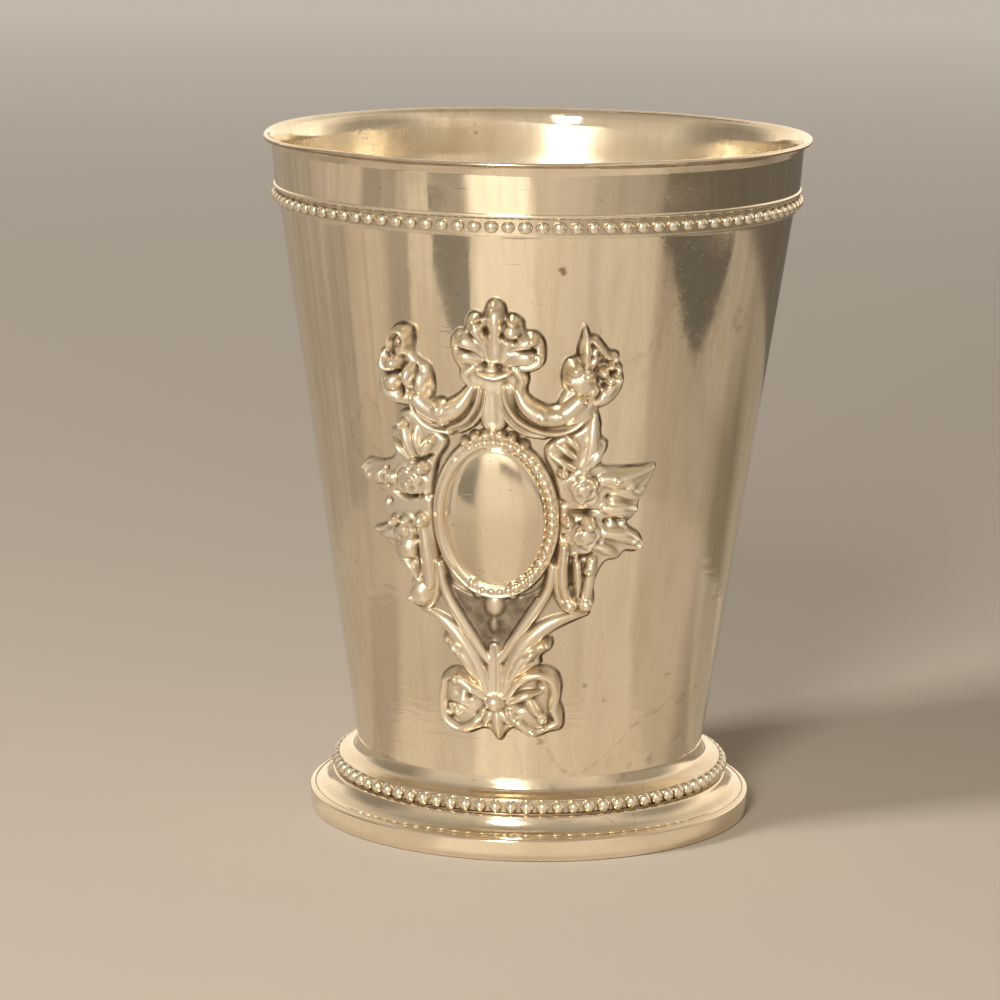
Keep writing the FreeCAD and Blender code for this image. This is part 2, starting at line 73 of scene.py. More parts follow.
scene.collection.objects.link(photo_camera)
scene.camera = photo_camera

# ---------------------------------------------------------------- table
# A plain pale cloth-coloured table top that runs back to the horizon, with no pattern.
# It keeps the cup's shadow, and the polished metal shows it as a warm grey.
table_colour, haze_colour = (0.58, 0.525, 0.465), (0.56, 0.50, 0.43)
haze_from, haze_to, most_haze = 0.2, 1.6, 0.92  # metres from the cup, and the share of haze there
table_half = 6  # metres


def tools_for(tree):
    """Short ways to wire a node tree: fill a node, add one, a step of maths, a range.

    A setting's name starts with a small letter and an input's with a capital. Inputs may come
    in order instead. A node given as a value stands for its first output.
    """
    def put(socket, value):
        if isinstance(value, bpy.types.Node):
            value = next(output for output in value.outputs if output.enabled)
        if isinstance(value, bpy.types.NodeSocket):
            tree.links.new(value, socket)
        elif socket.type == "RGBA":
            colour = [value] * 3 if isinstance(value, float) else value
            socket.default_value = (*colour, 1)
        else:
            socket.default_value = value

    def fill(node, *values, **named):
        for key, value in named.items():
            if key[0].islower():
                setattr(node, key, value)
        live = [socket for socket in node.inputs if socket.enabled]
        for socket, value in zip(live, values):
            put(socket, value)
        for key, value in named.items():
            if key[0].isupper():
                put(next(socket for socket in live if socket.name == key.replace("_", " ")), value)
        return node

    def add(kind, *values, **named):
        return fill(tree.nodes.new(kind), *values, **named)

    def maths(operation, *values):
        return add("ShaderNodeMath", *values, operation=operation)

    def between(value, low, high, to_low=0.0, to_high=1.0):
        return add("ShaderNodeMapRange", value, low, high, to_low, to_high)
    return fill, add, maths, between


def finish(name):
    """A new material with its shader, its output and the tools for its node tree."""
    material = bpy.data.materials.new(name)
    material.use_nodes = True
    nodes = material.node_tree.nodes
    return material, nodes["Principled BSDF"], nodes["Material Output"], *tools_for(material.node_tree)


def link_mesh(name, mesh, material):
    """A piece from its mesh, all in one material."""
    piece = bpy.data.objects.new(name, mesh)
    mesh.materials.clear()
    mesh.materials.append(material)
    scene.collection.objects.link(piece)
    return piece


cloth, shader, surface, fill, add, maths, between = finish("pale_table")
fill(shader, Base_Color=table_colour, Roughness=0.9, Specular_IOR_Level=0.1)
far_off = add("ShaderNodeVectorMath", add("ShaderNodeTexCoord").outputs["Object"], operation="LENGTH")
haze = add("ShaderNodeEmission", haze_colour)
fill(surface, add("ShaderNodeMixShader", between(far_off, haze_from, haze_to, 0.0, most_haze), shader, haze))
top = bpy.data.meshes.new("table_top")
top.from_pydata([(x * table_half, y * table_half, 0) for x, y in ((-1, -1), (1, -1), (1, 1), (-1, 1))], [],
                [(0, 1, 2, 3)])
table_top = link_mesh("table_top", top, cloth)

# ---------------------------------------------------------------- light
# A soft window at the front left throws the shadow back to the right, a tall warm lamp in three
# parts beside the camera gives the hot points, and a pale warm room fills the rest. The metal
# sees neither the window nor the lamp's middle part.
room_colour, window_colour, lamp_colour = (1.0, 0.87, 0.69), (1.0, 0.94, 0.87), (1.0, 0.93, 0.80)
as_a_light, in_the_metal = 0.40, 1.0
# the room's strength by direction: from, to, and the share at each
overhead, behind = (0.05, 0.85, 0.74, 0.42), (0.2, 0.9, 1.0, 1.7)
both_sides, right_side = (0.80, 0.95, 1.0, 0.45), (0.42, 0.74, 1.0, 1.3)
# metres and watts
window_place, window_side, window_power = (-1.25, -0.95, 0.80), 0.36, 25.0
lamp_across, lamp_in_front, lamp_width = -0.06, -0.80, 0.17
lamp_parts = [  # height, length, power, seen by the metal
    ("lamp_high", 0.525, 0.31, 3.0, True), ("lamp_middle", 0.300, 0.16, 1.5, False),
    ("lamp_low", 0.184, 0.092, 0.88, True)]
cup_foot, cup_top = (0, 0, 0.02), (0, 0, 0.12)

room = bpy.data.worlds.new("pale_room")
room.use_nodes = True
fill, add, maths, between = tools_for(room.node_tree)
toward = add("ShaderNodeSeparateXYZ", add("ShaderNodeTexCoord").outputs["Generated"]).outputs
seen_by_metal = add("ShaderNodeLightPath").outputs["Is Glossy Ray"]
strength = between(toward["Z"], *overhead)
for share in (between(seen_by_metal, 0, 1, as_a_light, in_the_metal), between(toward["Y"], *behind),
              between(maths("ABSOLUTE", toward["X"]), *both_sides), between(toward["X"], *right_side)):
    strength = maths("MULTIPLY", strength, share)
fill(room.node_tree.nodes["Background"], Color=room_colour, Strength=strength)
scene.world = room


def lamp(name, place, aim, size, power, colour):
    """An oblong lamp aimed at a place, that the camera doesn't see."""
    light = bpy.data.lights.new(name, "AREA")
    light.shape = "RECTANGLE"
    light.size, light.size_y = size
    light.energy = power
    light.color = colour
    holder = bpy.data.objects.new(name, light)
    holder.location = place
    holder.rotation_euler = (Vector(aim) - Vector(place)).to_track_quat("-Z", "Y").to_euler()
    holder.visible_camera = False
    scene.collection.objects.link(holder)
    return holder


window = lamp("window_left", window_place, cup_foot, (window_side, window_side), window_power, window_colour)
window.visible_glossy = False
for name, height, length, power, seen in lamp_parts:
    place = (lamp_across, lamp_in_front, height)
    part = lamp(name, place, cup_top, (lamp_width, length), power, lamp_colour)
    part.visible_glossy = seen

# ---------------------------------------------------------------- cards
# Pale, bronze and dark cards lie on the table out of the picture, as they do round silver in
# a studio. Only the metal sees them: they make its bright band and its dark shapes.
card_colour = (1.0, 0.90, 0.74)
bands = [
    # from, to (degrees from the front), from, to (mm from the axis), soft edge, let through, added light
    (-16, 9, 34, 640, 6, 1.0, 0.13), (-18, 34, 34, 640, 9, 1.0, 0.12),  # bright band up the front
    (34, 62, 34, 330, 9, 1.0, 0.06),  # its faint right edge
    (-18, 7, 318, 640, 5, 1.0, 0.30), (7, 36, 325, 640, 5, 0.64, 0.04),  # the band on the collar
    (-59, -47, 150, 330, 2.5, 0.66, 0.0), (-99, -82, 150, 330, 3, 0.78, 0.0),  # dark streaks, upper left
    (30, 39, 170, 330, 2, 0.92, 0.0),  # a faint one, upper right
    (-70, -51, 335, 640, 2, 0.58, 0.0), (-35, -19, 335, 640, 3, 0.50, 0.0),  # dark parts of the collar
    (62, 176, 335, 900, 9, 0.44, 0.0), (-50, -36, 335, 640, 3, 0.80, 0.0),
    (36, 62, 335, 900, 6, 0.86, 0.0),
    (-70, 70, 33, 60, 9, 1.0, 0.10), (-90, -64, 40, 105, 6, 0.86, 0.0),  # low on the wall
    (36, 64, 60, 330, 4, 1.0, 0.10), (-46, -37, 150, 330, 2, 1.0, 0.05),  # pale streaks, right and left
    (-66, -38, 34, 120, 8, 1.0, 0.07), (60, 118, 34, 140, 12, 1.0, 0.06),  # low at the left and right
    (-130, -100, 150, 900, 10, 0.88, 0.0),  # far round to the left
    (98, 126, 200, 330, 5, 1.0, 0.06), (112, 150, 42, 125, 8, 1.0, 0.14),  # far round to the right
]
near_edge, far_edge = 0.08, 0.05  # softness of a band's ends, as a share of their distance
degrees_apart, nearest, farthest, ring_count, sheet_level = 1.5, 33.6, 1500, 96, 0.6
turn, reach = np.meshgrid(np.arange(-180, 180, degrees_apart), np.geomspace(nearest, farthest, ring_count))
through, added = np.ones(turn.shape), np.zeros(turn.shape)


def ramp(t):
    """Smooth step from 0 to 1."""
    t = np.clip(t, 0, 1)
    return t * t * (3 - 2 * t)


def mark(mesh, **values):
    """Gives every point of a mesh a number under a name, for the materials to read."""
    for title, numbers in values.items():
        layer = mesh.attributes.new(title, "FLOAT", "POINT")
        layer.data.foreach_set("value", np.asarray(numbers, np.float32).ravel())


for start, end, near, far, soft, passed, glow in bands:
    share = ramp((turn - start) / soft + 0.5) * ramp((end - turn) / soft + 0.5) \
        * ramp((reach - near) / (near_edge * near) + 0.5) * ramp((far - reach) / (far_edge * far) + 0.5)
    through *= 1 - share * (1 - passed)
    added += share * glow
# fine streaks over the upper wall, strongest at the left: how many round the cup, and how dark
streaks = ((41, 0.05), (73, 0.05), (97, 0.04))
chance = np.random.default_rng(7)
streak_place = np.clip((reach - 120) / 100, 0, 1) * np.where(turn < -40, 1.0, 0.45)
for pitch, amount in streaks:
    sway = 1.5 * np.sin(np.radians(turn) * 7 + pitch)
    wave = np.sin(np.radians(turn) * pitch + chance.uniform(0, 6.3) + sway)
    through *= 1 + amount * wave * streak_place - amount / 2
sheet_mesh = bpy.data.meshes.new("cards_round_the_cup")
rows, columns = turn.shape
index = np.arange(rows * columns).reshape(rows, columns)
beside = np.roll(index, -1, 1)
corners = np.stack([index[:-1], beside[:-1], beside[1:], index[1:]], 2).reshape(-1, 4)
angle = np.radians(turn)
spots = np.stack([reach * np.sin(angle), -reach * np.cos(angle), 0 * turn + sheet_level], 2)
sheet_mesh.from_pydata((spots.reshape(-1, 3) / 1000).tolist(), [], corners.tolist())
mark(sheet_mesh, through=through, added=added)


def card(name, mesh, passed, glow):
    """A flat card that only the silver sees; what it lets through and adds may be attributes."""
    material, _, surface, fill, add, _, _ = finish(name)
    passed, glow = [add("ShaderNodeAttribute", attribute_name=value).outputs["Fac"]
                    if isinstance(value, str) else value for value in (passed, glow)]
    veil, shine = add("ShaderNodeBsdfTransparent", passed), add("ShaderNodeEmission", card_colour, glow)
    fill(surface, add("ShaderNodeAddShader", veil, shine))
    flat = link_mesh(name, mesh, material)
    flat.visible_camera = flat.visible_diffuse = flat.visible_shadow = False


card("cards_round_the_cup", sheet_mesh, "through", "added")
dark_cards = [  # what each lets through, and its corners: degrees from the front, mm from the axis
    ("dark_card_right", 0.12, [
        (64, 262), (66.5, 258), (65, 252), (71, 249), (72, 242), (75, 238), (76, 232), (80, 224),
        (84, 215), (88, 214), (90, 217), (95, 236), (102, 266), (104.5, 290), (106, 309), (64, 309)]),
    ("dark_card_left", 0.19, [
        (-35, 228), (-31, 212), (-27, 198), (-23, 187), (-19, 186), (-18, 334), (-36, 334)]),
    ("dark_card_front", 0.15, [(-5, 262), (0, 257), (4, 258), (10, 268), (11, 334), (-6, 334)])]
bronze_glow, card_level = 0.75, 0.001
for name, passed, edge in dark_cards:
    outline_mesh = bpy.data.meshes.new(name)
    corners = [(mm / 1000 * math.sin(math.radians(t)), -mm / 1000 * math.cos(math.radians(t)), card_level)
               for t, mm in edge]
    outline_mesh.from_pydata(corners, [], [list(range(len(edge)))])
    card(name, outline_mesh, passed, bronze_glow * passed)

# ---------------------------------------------------------------- cup body
# Drawn and spun from one sheet of nickel silver 0.8 mm thick, floor and wall in one, then
# plated and hand polished. The lip was turned out over a stake, and wavers by a hair.
sheet = 0.8
wall_slope = math.tan(math.radians(8.4))
collar_slope = math.tan(math.radians(4.6))
crease_level, collar_foot, floor_level = 100.6, 91.3, 5.0
crease_radius = 81.0 / 2 - 1.8
lip_waver, waver_from, waver_to = 1.3, 92.5, 102.0
inside_matt, inside_collar_matt = 0.26, 0.16


def wall_radius(z):
    """Outside radius of the wall at a height, with the steeper collar over the beading."""
    foot = crease_radius - (crease_level - collar_foot) * collar_slope
    return foot + np.maximum(z - collar_foot, 0) * collar_slope - np.maximum(collar_foot - z, 0) * wall_slope


def outline(corners, closed=False, run=2.6):
    """Points along an outline of (radius, height, rounding), its corners rounded by short arcs."""
    points = []
    count, arc_points, most_of_side = len(corners), 7, 0.45
    for k, (r, z, soft) in enumerate(corners):
        here = np.array((r, z), float)
        if soft and (closed or 0 < k < count - 1):
            before = np.array(corners[k - 1][:2], float) - here
            after = np.array(corners[(k + 1) % count][:2], float) - here
            soft = min(soft, most_of_side * np.hypot(*before), most_of_side * np.hypot(*after))
            start = here + before / np.hypot(*before) * soft
            end = here + after / np.hypot(*after) * soft
            for t in np.linspace(0, 1, arc_points):
                points.append((1 - t) ** 2 * start + 2 * t * (1 - t) * here + t * t * end)
        else:
            points.append(here)
    if closed:
        points.append(points[0])
    full = [points[0]]
    shortest, beside_corner = 0.5, 0.12  # a stop near each end of a straight stretch keeps it flat
    for a, b in zip(points, points[1:]):
        length = np.hypot(*(b - a))
        if length < 1e-4:
            continue
        stops = [] if length < shortest else [beside_corner / length, 1 - beside_corner / length]
        steps = int(length // run)
        stops += [k / (steps + 1) for k in range(1, steps + 1)]
        full += [a + (b - a) * t for t in sorted(stops)] + [b]
    return full


def new_group(name, inputs, output):
    """A node group with named inputs; deliver() ends it with a plain, smooth mesh in its finish."""
    group = bpy.data.node_groups.new(name, "GeometryNodeTree")
    for title, kind in inputs.items():
        group.interface.new_socket(title, in_out="INPUT", socket_type="NodeSocket" + kind)
    group.interface.new_socket(output, in_out="OUTPUT", socket_type="NodeSocketGeometry")
    _, add, maths, between = tools_for(group)
    given = add("NodeGroupInput").outputs

    def deliver(shape):
        smooth = add("GeometryNodeSetShadeSmooth", add("GeometryNodeRealizeInstances", shape))
        add("NodeGroupOutput", add("GeometryNodeSetMaterial", smooth, Material=given["Finish"]))
    return group, given, deliver, add, maths, between


def lathe_tree():
    """Node group that turns an outline about the cup's axis and lets the lip waver."""
    group, given, deliver, add, maths, _ = new_group("turn_on_the_lathe", {
        "Outline": "Geometry", "Steps round": "Int", "Lip waver": "Float", "Waver from": "Float",
        "Waver to": "Float", "Seed": "Float", "Finish": "Material"}, "Turned")
    # a grid with one row for each point of the outline, and one column for each step round
    count = add("GeometryNodeAttributeDomainSize", given["Outline"]).outputs["Point Count"]
    grid = add("GeometryNodeMeshGrid", 1.0, 1.0, count, maths("ADD", given["Steps round"], 1.0))
    place = add("ShaderNodeSeparateXYZ", add("GeometryNodeInputPosition")).outputs
    last = maths("SUBTRACT", count, 1.0)
    row = maths("ROUND", maths("MULTIPLY", maths("ADD", place["X"], 0.5), last))
    turn = maths("MULTIPLY", maths("ADD", place["Y"], 0.5), 2 * math.pi)
    point = add("ShaderNodeSeparateXYZ", add(
        "GeometryNodeSampleIndex", given["Outline"], add("GeometryNodeInputPosition"), row,
        data_type="FLOAT_VECTOR", domain="POINT")).outputs
    # the lip strays a little in radius and height, more the nearer it is to the top
    sine, cosine = maths("SINE", turn), maths("COSINE", turn)
    ring = add("ShaderNodeCombineXYZ", sine, cosine, given["Seed"])
    noise = add("ShaderNodeTexNoise", Vector=ring, Scale=1.1, Detail=1.0)
    stray = add("ShaderNodeSeparateXYZ", noise.outputs["Color"]).outputs
    share = add("ShaderNodeMapRange", point["Z"], given["Waver from"], given["Waver to"], 0.0, 1.0,
                interpolation_type="SMOOTHSTEP")
    amount = maths("MULTIPLY", given["Lip waver"], share)
    radius = maths("ADD", point["X"], maths("MULTIPLY", maths("SUBTRACT", stray["X"], 0.5), amount))
    level = maths("ADD", point["Z"], maths("MULTIPLY", maths("SUBTRACT", stray["Y"], 0.5), amount))
    spot = add("ShaderNodeCombineXYZ", maths("MULTIPLY", radius, sine),
               maths("MULTIPLY", maths("MULTIPLY", radius, cosine), -1.0), level)
    deliver(add("GeometryNodeMergeByDistance", add("GeometryNodeSetPosition", grid, Position=spot),
                Distance=2e-6))
    return group


lathe = lathe_tree()


def made_by(tree, name, start, inputs):
    """Runs a node group on a starting mesh and returns the result as a plain mesh."""
    holder = bpy.data.objects.new(name + "_start", start)
    scene.collection.objects.link(holder)
    modifier = holder.modifiers.new(name, "NODES")
    modifier.node_group = tree
    for socket in tree.interface.items_tree:
        if socket.in_out == "INPUT" and socket.name in inputs:
            modifier[socket.identifier] = inputs[socket.name]
    bpy.context.view_layer.update()
    evaluated = holder.evaluated_get(bpy.context.evaluated_depsgraph_get())
    mesh = bpy.data.meshes.new_from_object(evaluated)
    mesh.name = name
    bpy.data.objects.remove(holder)
    return mesh


def turned(name, points, material, dull, waver=0.0):
    """Mesh turned from an outline; dull lists zones (from, to radius, from, to height, darkness from grime
    and painted shade, matt).
    """
    start = bpy.data.meshes.new(name + "_outline")
    start.from_pydata([(r / 1000, 0, z / 1000) for r, z in points], [], [])
    mesh = made_by(lathe, name, start, {
        "Steps round": 256, "Lip waver": waver / 1000, "Waver from": waver_from / 1000,
        "Waver to": waver_to / 1000, "Seed": 3.0, "Finish": material})
    shape = bmesh.new()
    shape.from_mesh(mesh)
    if shape.calc_volume(signed=True) < 0:
        bmesh.ops.reverse_faces(shape, faces=shape.faces)
    shape.to_mesh(mesh)
    shape.free()
    spots = np.empty(len(mesh.vertices) * 3, np.float32)
    mesh.vertices.foreach_get("co", spots)
    across, deep, level = spots.reshape(-1, 3).T * 1000
    radius = np.hypot(across, deep)
    dirt_and_shade, matt = np.zeros(len(level)), np.zeros(len(level))
    for near, far, low, high, amount, *rough in dull:
        zone = (radius > near) & (radius < far) & (level > low) & (level < high)
        dirt_and_shade[zone] = amount
        matt[zone] = rough[0] if rough else 0.0
    mark(mesh, hollow=dirt_and_shade, matt=matt)
    return mesh


def silver(name, colour, worn, tarnish, gloss, clouds, streaks=0.0, stains=0.0, dents=0.0, brushing=0.0,
           marks=0.0, ripples=0.0, nicks=()):
    """Plated silver: warm and worn patches, old drip marks, specks, nicks, dents, brushing and hairlines."""
    material, shader, _, fill, add, maths, between = finish(name)
    place = add("ShaderNodeTexCoord").outputs["Object"]

    def field(scale, size, detail, rough=0.5, warp=0.0, turned_by=(0, 0, 0)):
        spot = add("ShaderNodeMapping", place, Rotation=turned_by, Scale=[1000 * s for s in scale])
        return add("ShaderNodeTexNoise", Vector=spot, Scale=size, Detail=detail, Roughness=rough,
                   Distortion=warp)

    def mixed(share, first, second):
        return add("ShaderNodeMix", share, first, second, data_type="RGBA")

    def marked(title):
        return add("ShaderNodeAttribute", attribute_name=title).outputs["Fac"]

    # cloudy wear, and a fine grain that varies the gloss
    cloud = field((1, 1, 0.6), 0.055, 4.0, 0.55, 0.6)
    fine = field((1, 1, 1), 0.55, 5.0, 0.6)
    shade = mixed(between(cloud, 0.36, 0.66, 0.0, clouds), colour, worn)
    rough = between(fine, 0.3, 0.75, *gloss)
    heights = [(fine, 0.2, 0.000015)]  # a pattern, its strength, and its depth in metres
    if streaks:  # upright streaks of wear
        streak = field((1, 1, 0.04), 0.42, 3.0, 0.6, 0.35)
        shade = mixed(between(streak, 0.45, 0.72, 0.0, streaks), shade, worn)
        rough = maths("MULTIPLY_ADD", between(streak, 0.4, 0.7), 0.05, rough)
        heights.append((streak, 0.5, 0.00002))
    if stains:  # old drips: a broken dark line, a duller side to it, and specks
        tide = field((1, 1, 0.8), 0.045, 3.0, 0.5, 1.2)
        where = between(field((1, 1, 1), 0.03, 1.0), 0.50, 0.60)
        line = between(maths("ABSOLUTE", maths("SUBTRACT", tide, 0.56)), 0.016, 0.002)
        line = maths("MULTIPLY", line, between(fine, 0.40, 0.62))
        shade = mixed(maths("MULTIPLY", maths("MULTIPLY", line, where), stains), shade, tarnish)
        dulled = maths("MULTIPLY", between(tide, 0.555, 0.60), where)
        shade = mixed(maths("MULTIPLY", dulled, 0.45 * stains), shade, worn)
        rough = maths("MULTIPLY_ADD", dulled, 0.07, rough)
        speck = between(field((1, 1, 1), 0.9, 2.0, 0.5), 0.735, 0.76)
        shade = mixed(maths("MULTIPLY", speck, stains), shade, tarnish)
    for spot, size, depth in nicks:  # dark ragged nicks: place, radius, and how dark
        size = size / 1000
        ragged = add("ShaderNodeTexNoise", Vector=place, Scale=1400.0, Detail=2.0).outputs["Color"]
        stray = add("ShaderNodeVectorMath", ragged, [1.6 * size] * 3, [-0.8 * size] * 3,
                    operation="MULTIPLY_ADD")
        moved = add("ShaderNodeVectorMath", place, stray, operation="ADD")
        off = add("ShaderNodeVectorMath", moved, [value / 1000 for value in spot], operation="DISTANCE")
        shade = mixed(between(off, size, 0.5 * size, 0.0, depth), shade, tarnish)
    # darkness marked on the mesh, unevenly: grime in the hollows, and painted shade round the castings,
    # under the lip and wire, in the foot's groove and along its bottom edge; and a little smut over the whole
    patchy = between(field((1, 1, 1), 0.5, 3.0, 0.55), 0.32, 0.62, 0.72, 1.08)
    hollow = maths("MULTIPLY", marked("hollow"), patchy)
    smut = maths("MULTIPLY", between(fine, 0.60, 0.80, 0.0, 0.25), clouds)
    shade = mixed(maths("MULTIPLY_ADD", hollow, 0.95, smut), shade, tarnish)
    rough = maths("ADD", maths("MULTIPLY_ADD", hollow, 0.26, rough), marked("matt"))

    if dents:  # broad, and finer ones among them
        heights.append((field((1, 1, 0.7), 0.06, 2.0, 0.4), dents, 0.00022))
        heights.append((field((1, 1, 0.4), 0.21, 2.0, 0.5, 0.4), dents, 0.00004))
    if brushing:  # fine lines round the axis, from polishing
        heights.append((field((0.1, 0.1, 1.2), 0.9, 3.0, 0.6), brushing, 0.000012))
    if ripples:  # over the lower wall
        level = add("ShaderNodeSeparateXYZ", place).outputs["Z"]
        ripple = field((0.22, 0.22, 1.0), 0.62, 2.0, 0.5, 0.3)
        heights.append((ripple, between(level, 0.050, 0.018, 0.0, ripples), 0.00012))
    if marks:  # hairlines in three directions
        for turned_by in ((0.5, 0.3, 0.9), (-0.7, 0.2, 2.1), (1.1, -0.4, 0.2)):
            hairs = field((0.03, 1.6, 1.6), 0.8, 2.0, 0.5, 0.0, turned_by)
            heights.append((between(hairs, 0.68, 0.74), marks, -0.00001))
    bumps = {}
    for height, strength, depth in heights:
        bumps = {"Normal": add("ShaderNodeBump", invert=depth < 0, Strength=strength, Distance=abs(depth),
                               Height=height, **bumps)}
    fill(shader, Base_Color=shade, Metallic=1.0, Roughness=rough, **bumps)
    return material


plate = silver("silver_plate_cup", (0.93, 0.83, 0.665), (0.77, 0.65, 0.48), (0.34, 0.24, 0.15), (0.03, 0.09),
               clouds=0.45, streaks=0.55, stains=0.35, dents=0.5, brushing=0.06, marks=0.3, ripples=1.0,
               nicks=[((9.8, -35.9, 86.4), 0.7, 0.9), ((6.0, -26.2, 16.4), 0.8, 0.5),
                      ((12.3, -25.3, 24.8), 0.5, 0.5), ((14.7, -23.5, 22.3), 0.4, 0.4),
                      ((-15.7, 34.7, 98.0), 0.5, 0.5), ((-22.6, -20.4, 40.6), 0.5, 0.35)])
body_outline = outline([
    (0, floor_level, 0), (wall_radius(floor_level), floor_level, 3.0),
    (wall_radius(collar_foot), collar_foot, 0.5), (38.0, 93.2, 0.2), (38.72, 94.1, 0.3), (39.1, 99.95, 0.1),
    (39.42, 100.8, 0.15), (39.8, 101.25, 0.1), (40.0, 101.35, 0), (39.95, 101.78, 0),
    (39.4, 101.7, 0.1), (38.95, 101.25, 0.2), (38.62, 100.4, 0.3), (38.4, 99.3, 0.6),
    (37.92, 94.4, 0.6), (wall_radius(collar_foot) - sheet, collar_foot - 0.2, 1.0),
    (wall_radius(floor_level + sheet) - sheet, floor_level + sheet, 2.6), (0, floor_level + sheet, 0),
])
# the inside is a little darker and matter
inside_of_cup = [(0, wall_radius(z) - 0.35, z, z + 1.01, 0.05, inside_matt) for z in np.arange(5.3, 91, 1)]
inside_of_cup.append((0, 38.5, 91, 99.9, 0.05, inside_collar_matt))
# the underside of the floor is darker, and a painted dark line of shade and dark reflection runs under the
# turned-out lip
under_the_floor, painted_shade_under_lip = (0, 27, 0, 5.2, 0.6), (39.5, 41, 100.9, 101.5, 0.9)
cup_mesh = turned("cup_body_sheet", body_outline, plate, waver=lip_waver,
                  dull=[*inside_of_cup, under_the_floor, painted_shade_under_lip])
cup_body = link_mesh("cup_body_sheet", cup_mesh, plate)
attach(cup_body, "root")
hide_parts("cup_body")

# ---------------------------------------------------------------- rim wire
# Half-hard round wire, under 1 mm thick, let into the turned-out edge of the lip all the way
# round and soldered, so that the edge is stiff and pleasant to drink from.
wire_radius, wire_ring, wire_level = 0.36, 39.97, 101.48
wire_points = [(wire_ring + wire_radius * math.cos(a), wire_level + wire_radius * math.sin(a))
               for a in np.linspace(0, 2 * math.pi, 15)]
# the same painted dark line of shade and dark reflection, under the wire
painted_shade_under_wire = (39.5, 41, 101.0, 101.42, 0.9)
wire_mesh = turned("rim_wire_round", wire_points, plate, waver=lip_waver, dull=[painted_shade_under_wire])
rim_wire = link_mesh("rim_wire_round", wire_mesh, plate)
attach(rim_wire, "root")
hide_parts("rim_wire")

# ---------------------------------------------------------------- pearled moulding of the rim
# Gallery strip stamped with about a hundred pearls and a raised line over them, bent to a
# ring and soldered under the collar. The strip between the pearls, and each pearl toward its
# base, is darker.
beading = silver("silver_plate_beading", (0.95, 0.86, 0.70), (0.80, 0.69, 0.52), (0.20, 0.135, 0.08),
                 (0.15, 0.26), clouds=0.35)
strip_foot, strip_face, raised_line = 91.3, 38.42, 93.8
rim_pearl_count, rim_pearl_size = 101, (1.03, 0.9, 0.72)


def pearl_tree():
    """Node group that sets pearls along a closed line, each facing out of the metal under it."""
    group, given, deliver, add, maths, between = new_group("pearls_along_a_line", {
        "Line": "Geometry", "Pearls": "Int", "Half width": "Float", "Half height": "Float",
        "Stand-out": "Float", "Unevenness": "Float", "Seed": "Int", "Finish": "Material"}, "Row")

    def marked(title, kind):
        return add("GeometryNodeInputNamedAttribute", title, data_type=kind)

    curve = add("GeometryNodeMeshToCurve", given["Line"])
    even = add("GeometryNodeResampleCurve", curve, Count=given["Pearls"])
    facing = add("FunctionNodeAlignRotationToVector", Vector=marked("facing", "FLOAT_VECTOR"), axis="Z")
    upright = add("FunctionNodeAlignRotationToVector", Rotation=facing, Vector=(0, 0, 1), axis="Y",
                  pivot_axis="Z")
    ball = add("GeometryNodeMeshUVSphere", 10, 6, 1.0)
    height = add("ShaderNodeSeparateXYZ", add("GeometryNodeInputPosition")).outputs["Z"]
    # each pearl darker toward its base, against the strip
    pearl = add("GeometryNodeStoreNamedAttribute", ball, Name="hollow", data_type="FLOAT",
                Value=between(height, 0.5, 0.0, 0.0, 0.6))
    least = maths("MULTIPLY", given["Unevenness"], -1.0)
    uneven = add("FunctionNodeRandomValue", data_type="FLOAT", Min=least, Max=given["Unevenness"],
                 Seed=given["Seed"])
    left = marked("left_of_it", "FLOAT")
    stray = maths("MULTIPLY", maths("ADD", uneven, 1.0), left)
    size = add("ShaderNodeCombineXYZ", maths("MULTIPLY", given["Half width"], stray),
               maths("MULTIPLY", given["Half height"], stray), maths("MULTIPLY", given["Stand-out"], left))
    deliver(add("GeometryNodeInstanceOnPoints", even, Instance=pearl, Rotation=upright, Scale=size))
    return group


pearls_on_line = pearl_tree()


def pearl_row(name, line, facing, count, size, material, seed, worn=0.0, uneven=0.05):
    """Pearls along a closed line; size is half their width and height, and how far they stand out."""
    start = bpy.data.meshes.new(name + "_line")
    total = len(line)
    start.from_pydata([tuple(p / 1000) for p in line], [(k, (k + 1) % total) for k in range(total)], [])
    way_out = start.attributes.new("facing", "FLOAT_VECTOR", "POINT")
    way_out.data.foreach_set("vector", np.asarray(facing, np.float32).ravel())
    mark(start, left_of_it=1 - worn * np.ones(total))
    half_width, half_height, stand_out = [value / 1000 for value in size]
    return made_by(pearls_on_line, name, start, {
        "Pearls": count, "Half width": half_width, "Half height": half_height, "Stand-out": stand_out,
        "Unevenness": uneven, "Seed": seed, "Finish": material})


def joined(name, *meshes):
    """One mesh of several."""
    shape = bmesh.new()
    for mesh in meshes:
        shape.from_mesh(mesh)
    whole = bpy.data.meshes.new(name)
    shape.to_mesh(whole)
    shape.free()
    return whole


def ring_line(radius, level, lean):
    """A level ring of points, and the way its pearls face, leaning up by degrees."""
    angle = np.linspace(0, 2 * math.pi, 240, endpoint=False)
    round_it = np.stack([np.sin(angle), -np.cos(angle), 0 * angle], 1)
    up = np.array([0, 0, 1.0])
    facing = round_it * math.cos(math.radians(lean)) + up * math.sin(math.radians(lean))
    return round_it * radius + up * level, facing


rim_strip = turned("rim_strip", outline([
    (wall_radius(strip_foot) - 0.3, strip_foot, 0), (strip_face, strip_foot, 0.2),
    (strip_face, raised_line, 0.12), (38.95, 93.92, 0.15), (38.97, 94.38, 0.2), (38.6, 94.48, 0)],
    closed=True), beading, dull=[(38.0, 38.6, 91.5, 93.9, 0.45)])
rim_line, rim_facing = ring_line(strip_face + 0.1, 92.6, lean=-4)
rim_pearls = pearl_row("rim_pearls", rim_line, rim_facing, rim_pearl_count, rim_pearl_size, beading, seed=4)
rim_moulding = link_mesh("rim_beading", joined("rim_beading", rim_strip, rim_pearls), beading)
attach(rim_moulding, "root")
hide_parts("rim_pearl_moulding")

